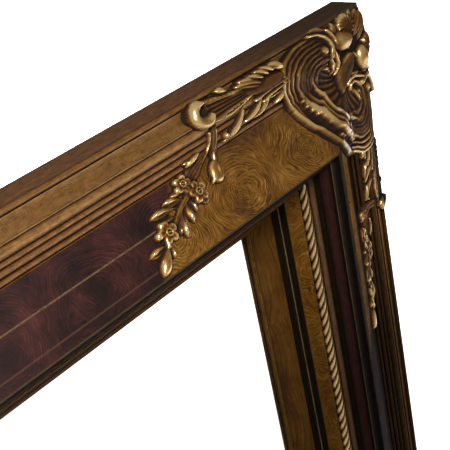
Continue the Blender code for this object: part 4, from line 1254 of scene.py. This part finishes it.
def build_knobs(material):
    """Turned clamp knobs with a fluted grip."""
    rows = [(0, 8.6), (0.8, 9.2), (3, 9.6), (4.4, 8.6), (6.5, 7.0), (9, 6.6), (11.2, 7.4),
            (13.2, 11.2), (15.2, 15.0), (17.5, 16.9), (21, 17.8), (25, 17.7), (28.5, 16.2),
            (31, 13.4), (32.4, 10.4), (33.0, 7.6), (33.1, 6.6), (34.0, 5.6), (34.0, 2.0)]
    around = 96
    flutes, flute_depth, grip_middle, grip_reach = 16, 0.7, 22.5, 8.0
    angle = math.tau * np.arange(around) / around
    x, radius = smooth_stations(rows, 0.8)
    depth = flute_depth * np.maximum(0.0, 1 - ((x - grip_middle) / grip_reach) ** 2)
    reach = (radius - depth * (0.5 + 0.5 * np.cos(angle * flutes)) ** 2) * MM
    for hand, direction in (("left", -1), ("right", 1)):
        low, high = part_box("clamp_knob_" + hand)
        start = low.x if direction > 0 else high.x
        points = np.broadcast_arrays(start + direction * x * MM, reach * np.cos(angle),
                                     (low.z + high.z) / 2 + reach * np.sin(angle))
        mesh = tube_mesh("knob_" + hand, np.stack(points, axis=-1), 40)
        add_object("fluted_knob_" + hand, mesh, material, "knob_" + hand,
                   "clamp_knob_" + hand)


def build_glass(silver):
    """Mirror plate from rings of (inset of its ends, u, h).

    A band along its upright edges leans slightly towards the middle.
    """
    rings = []
    for inset, u, h in ((128.0, 128.0, 0.6), (128.0, 128.0, 4.2), (130.5, 130.5, 5.3),
                        (145.0, 131.8, 4.2)):
        ring = []
        for side in ("top", "bottom"):
            half = SIDES[side][3] / MM - inset
            for end in (-1.0, 1.0) if side == "top" else (1.0, -1.0):
                ring.append(member_point(side, end * half * MM, u * MM, h * MM))
        rings.append(np.array(ring).reshape(4, 3))
    mesh = loft_mesh("mirror_plate", rings, 2)
    add_object("mirror_plate", mesh, silver, "mirror", "mirror_glass")


def dress_cad_nodes(looks):
    """Give the CAD nodes that stay their procedural materials."""
    for name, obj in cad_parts.items():
        for prefix, material in looks.items():
            if name.startswith(prefix):
                obj.data.materials.clear()
                obj.data.materials.append(material)


# ------------------------------------------------------------------ studio

def build_floor():
    mesh = bpy.data.meshes.new("floor")
    reach = 30.0
    mesh.from_pydata([(-reach, -reach, 0), (reach, -reach, 0), (reach, reach, 0), (-reach, reach, 0)],
                     [], [(0, 1, 2, 3)])
    floor = bpy.data.objects.new("floor", mesh)
    bpy.context.scene.collection.objects.link(floor)
    paint = Paint("pale_floor", Base_Color=(0.86, 0.86, 0.85), Roughness=0.9,
                  Specular_IOR_Level=0.1)
    mesh.materials.append(paint.material)


def add_light(kind, name, location, target, watts, **settings):
    light = bpy.data.lights.new(name, kind)
    light.energy = watts
    for key, value in settings.items():
        setattr(light, key, value)
    obj = bpy.data.objects.new(name, light)
    obj.location = location
    obj.rotation_euler = (Vector(target) - Vector(location)).to_track_quat('-Z', 'Y').to_euler()
    obj.visible_camera = kind != 'AREA'
    bpy.context.scene.collection.objects.link(obj)


def build_lights():
    corner = (HALF_W - 0.12, 0.0, CENTRE_Z + HALF_H - 0.05)
    middle = (0.0, 0.0, 0.9)
    add_light('AREA', "near_key", (-0.12, -0.36, 1.98), corner, 4.6, size=0.15,
              color=(1.0, 0.97, 0.95))
    add_light('AREA', "soft_front", (-3.0, -2.2, 2.8), middle, 36.0, size=1.6)
    add_light('AREA', "soft_rear", (-1.6, 3.4, 2.4), middle, 45.0, size=1.6)
    wide = {"spot_blend": 0.9, "shadow_soft_size": 0.6}
    add_light('SPOT', "floor_behind", (3.0, 4.0, 5.5), (2.6, 4.4, 0.0), 5200.0,
              spot_size=math.radians(100), **wide)
    add_light('SPOT', "floor_beside", (2.6, -2.4, 5.0), (2.6, -2.4, 0.0), 2000.0,
              spot_size=math.radians(60), **wide)
    world = bpy.data.worlds.new("studio")
    world.use_nodes = True
    background = world.node_tree.nodes["Background"]
    background.inputs["Color"].default_value = (1.0, 1.0, 1.0, 1.0)
    background.inputs["Strength"].default_value = 0.12
    bpy.context.scene.world = world
    bpy.context.scene.view_settings.view_transform = 'Standard'


# The camera's place from the ridge's corner, in metres, its lens in mm, and the directions in the
# world of the picture's right and of the view
CAMERA_PLACE = Vector((-0.534, -0.412, 0.296))
CAMERA_LENS = 82.4
CAMERA_RIGHT = Vector((0.62986, -0.75361, -0.18800))
CAMERA_FORWARD = Vector((0.62964, 0.63714, -0.44453))


def build_camera():
    """Close view of the top right-hand corner, from the left and above."""
    ridge_corner = Vector((HALF_W - RIDGE[0] * MM, BACK_Y - RIDGE[1] * MM,
                           CENTRE_Z + HALF_H - RIDGE[0] * MM))
    forward = CAMERA_FORWARD.normalized()
    up = CAMERA_RIGHT.normalized().cross(forward).normalized()
    right = forward.cross(up)
    camera = bpy.data.objects.new("camera", bpy.data.cameras.new("camera"))
    camera.data.lens = CAMERA_LENS
    camera.data.sensor_width = 36.0
    camera.data.clip_start = 0.02
    camera.data.clip_end = 100.0
    axes = Matrix((right, up, -forward)).transposed()
    camera.matrix_world = Matrix.Translation(ridge_corner + CAMERA_PLACE) @ axes.to_4x4()
    bpy.context.scene.collection.objects.link(camera)
    bpy.context.scene.camera = camera


# ------------------------------------------------------------------ assembly

moulding_paints = (
    gilt_moulding("gilt_moulding", Specular_IOR_Level=0.35, Coat_Weight=0.2, Coat_Roughness=0.2),
    matt_paint(),
    gilt_moulding("gilt_inner", Specular_IOR_Level=0.03),
)
ornament_paint = gilt_relief("gilt_ornament", "1e1108", "563514", "a07432", "e8c284")
rope_paint = gilt_relief("gilt_rope", "1a0e05", "5c3d18", "b88c4e", "ecca94")
walnut = dark_walnut()
brass = metal("antique_brass", "5c3f18", "b08a4a", 0.26, 0.42)
steel = metal("zinc_steel", "8c8c88", "c4c4c0", 0.25, 0.4)

build_camera()
build_mouldings(moulding_paints)
build_ropes(rope_paint)
build_cartouches(ornament_paint)
build_sprays(ornament_paint)
build_turnings(walnut)
build_legs(walnut)
build_knobs(brass)
build_glass(mirror_silver())
dress_cad_nodes({
    "back_panel": plywood(),
    "back_screw": steel,
    "pivot_stud": steel,
    "pivot_boss": brass,
    "pivot_rosette": brass,
    "stretcher_bolt": brass,
    "pivot_washer": soft_grain("felt_washer", 1500.0, (4.0, 0.7, 1.0), "15120f", "332c26",
                               (0.85, 1.0), (0.6, 0.3 * MM), Specular_IOR_Level=0.1,
                               Sheen_Weight=0.4),
    "glide": soft_grain("rubber_glide", 900.0, (3.0, 0.6), "141414", "262524", (0.7, 0.85),
                        (0.3, 0.1 * MM), Specular_IOR_Level=0.35),
})
build_floor()
build_lights()
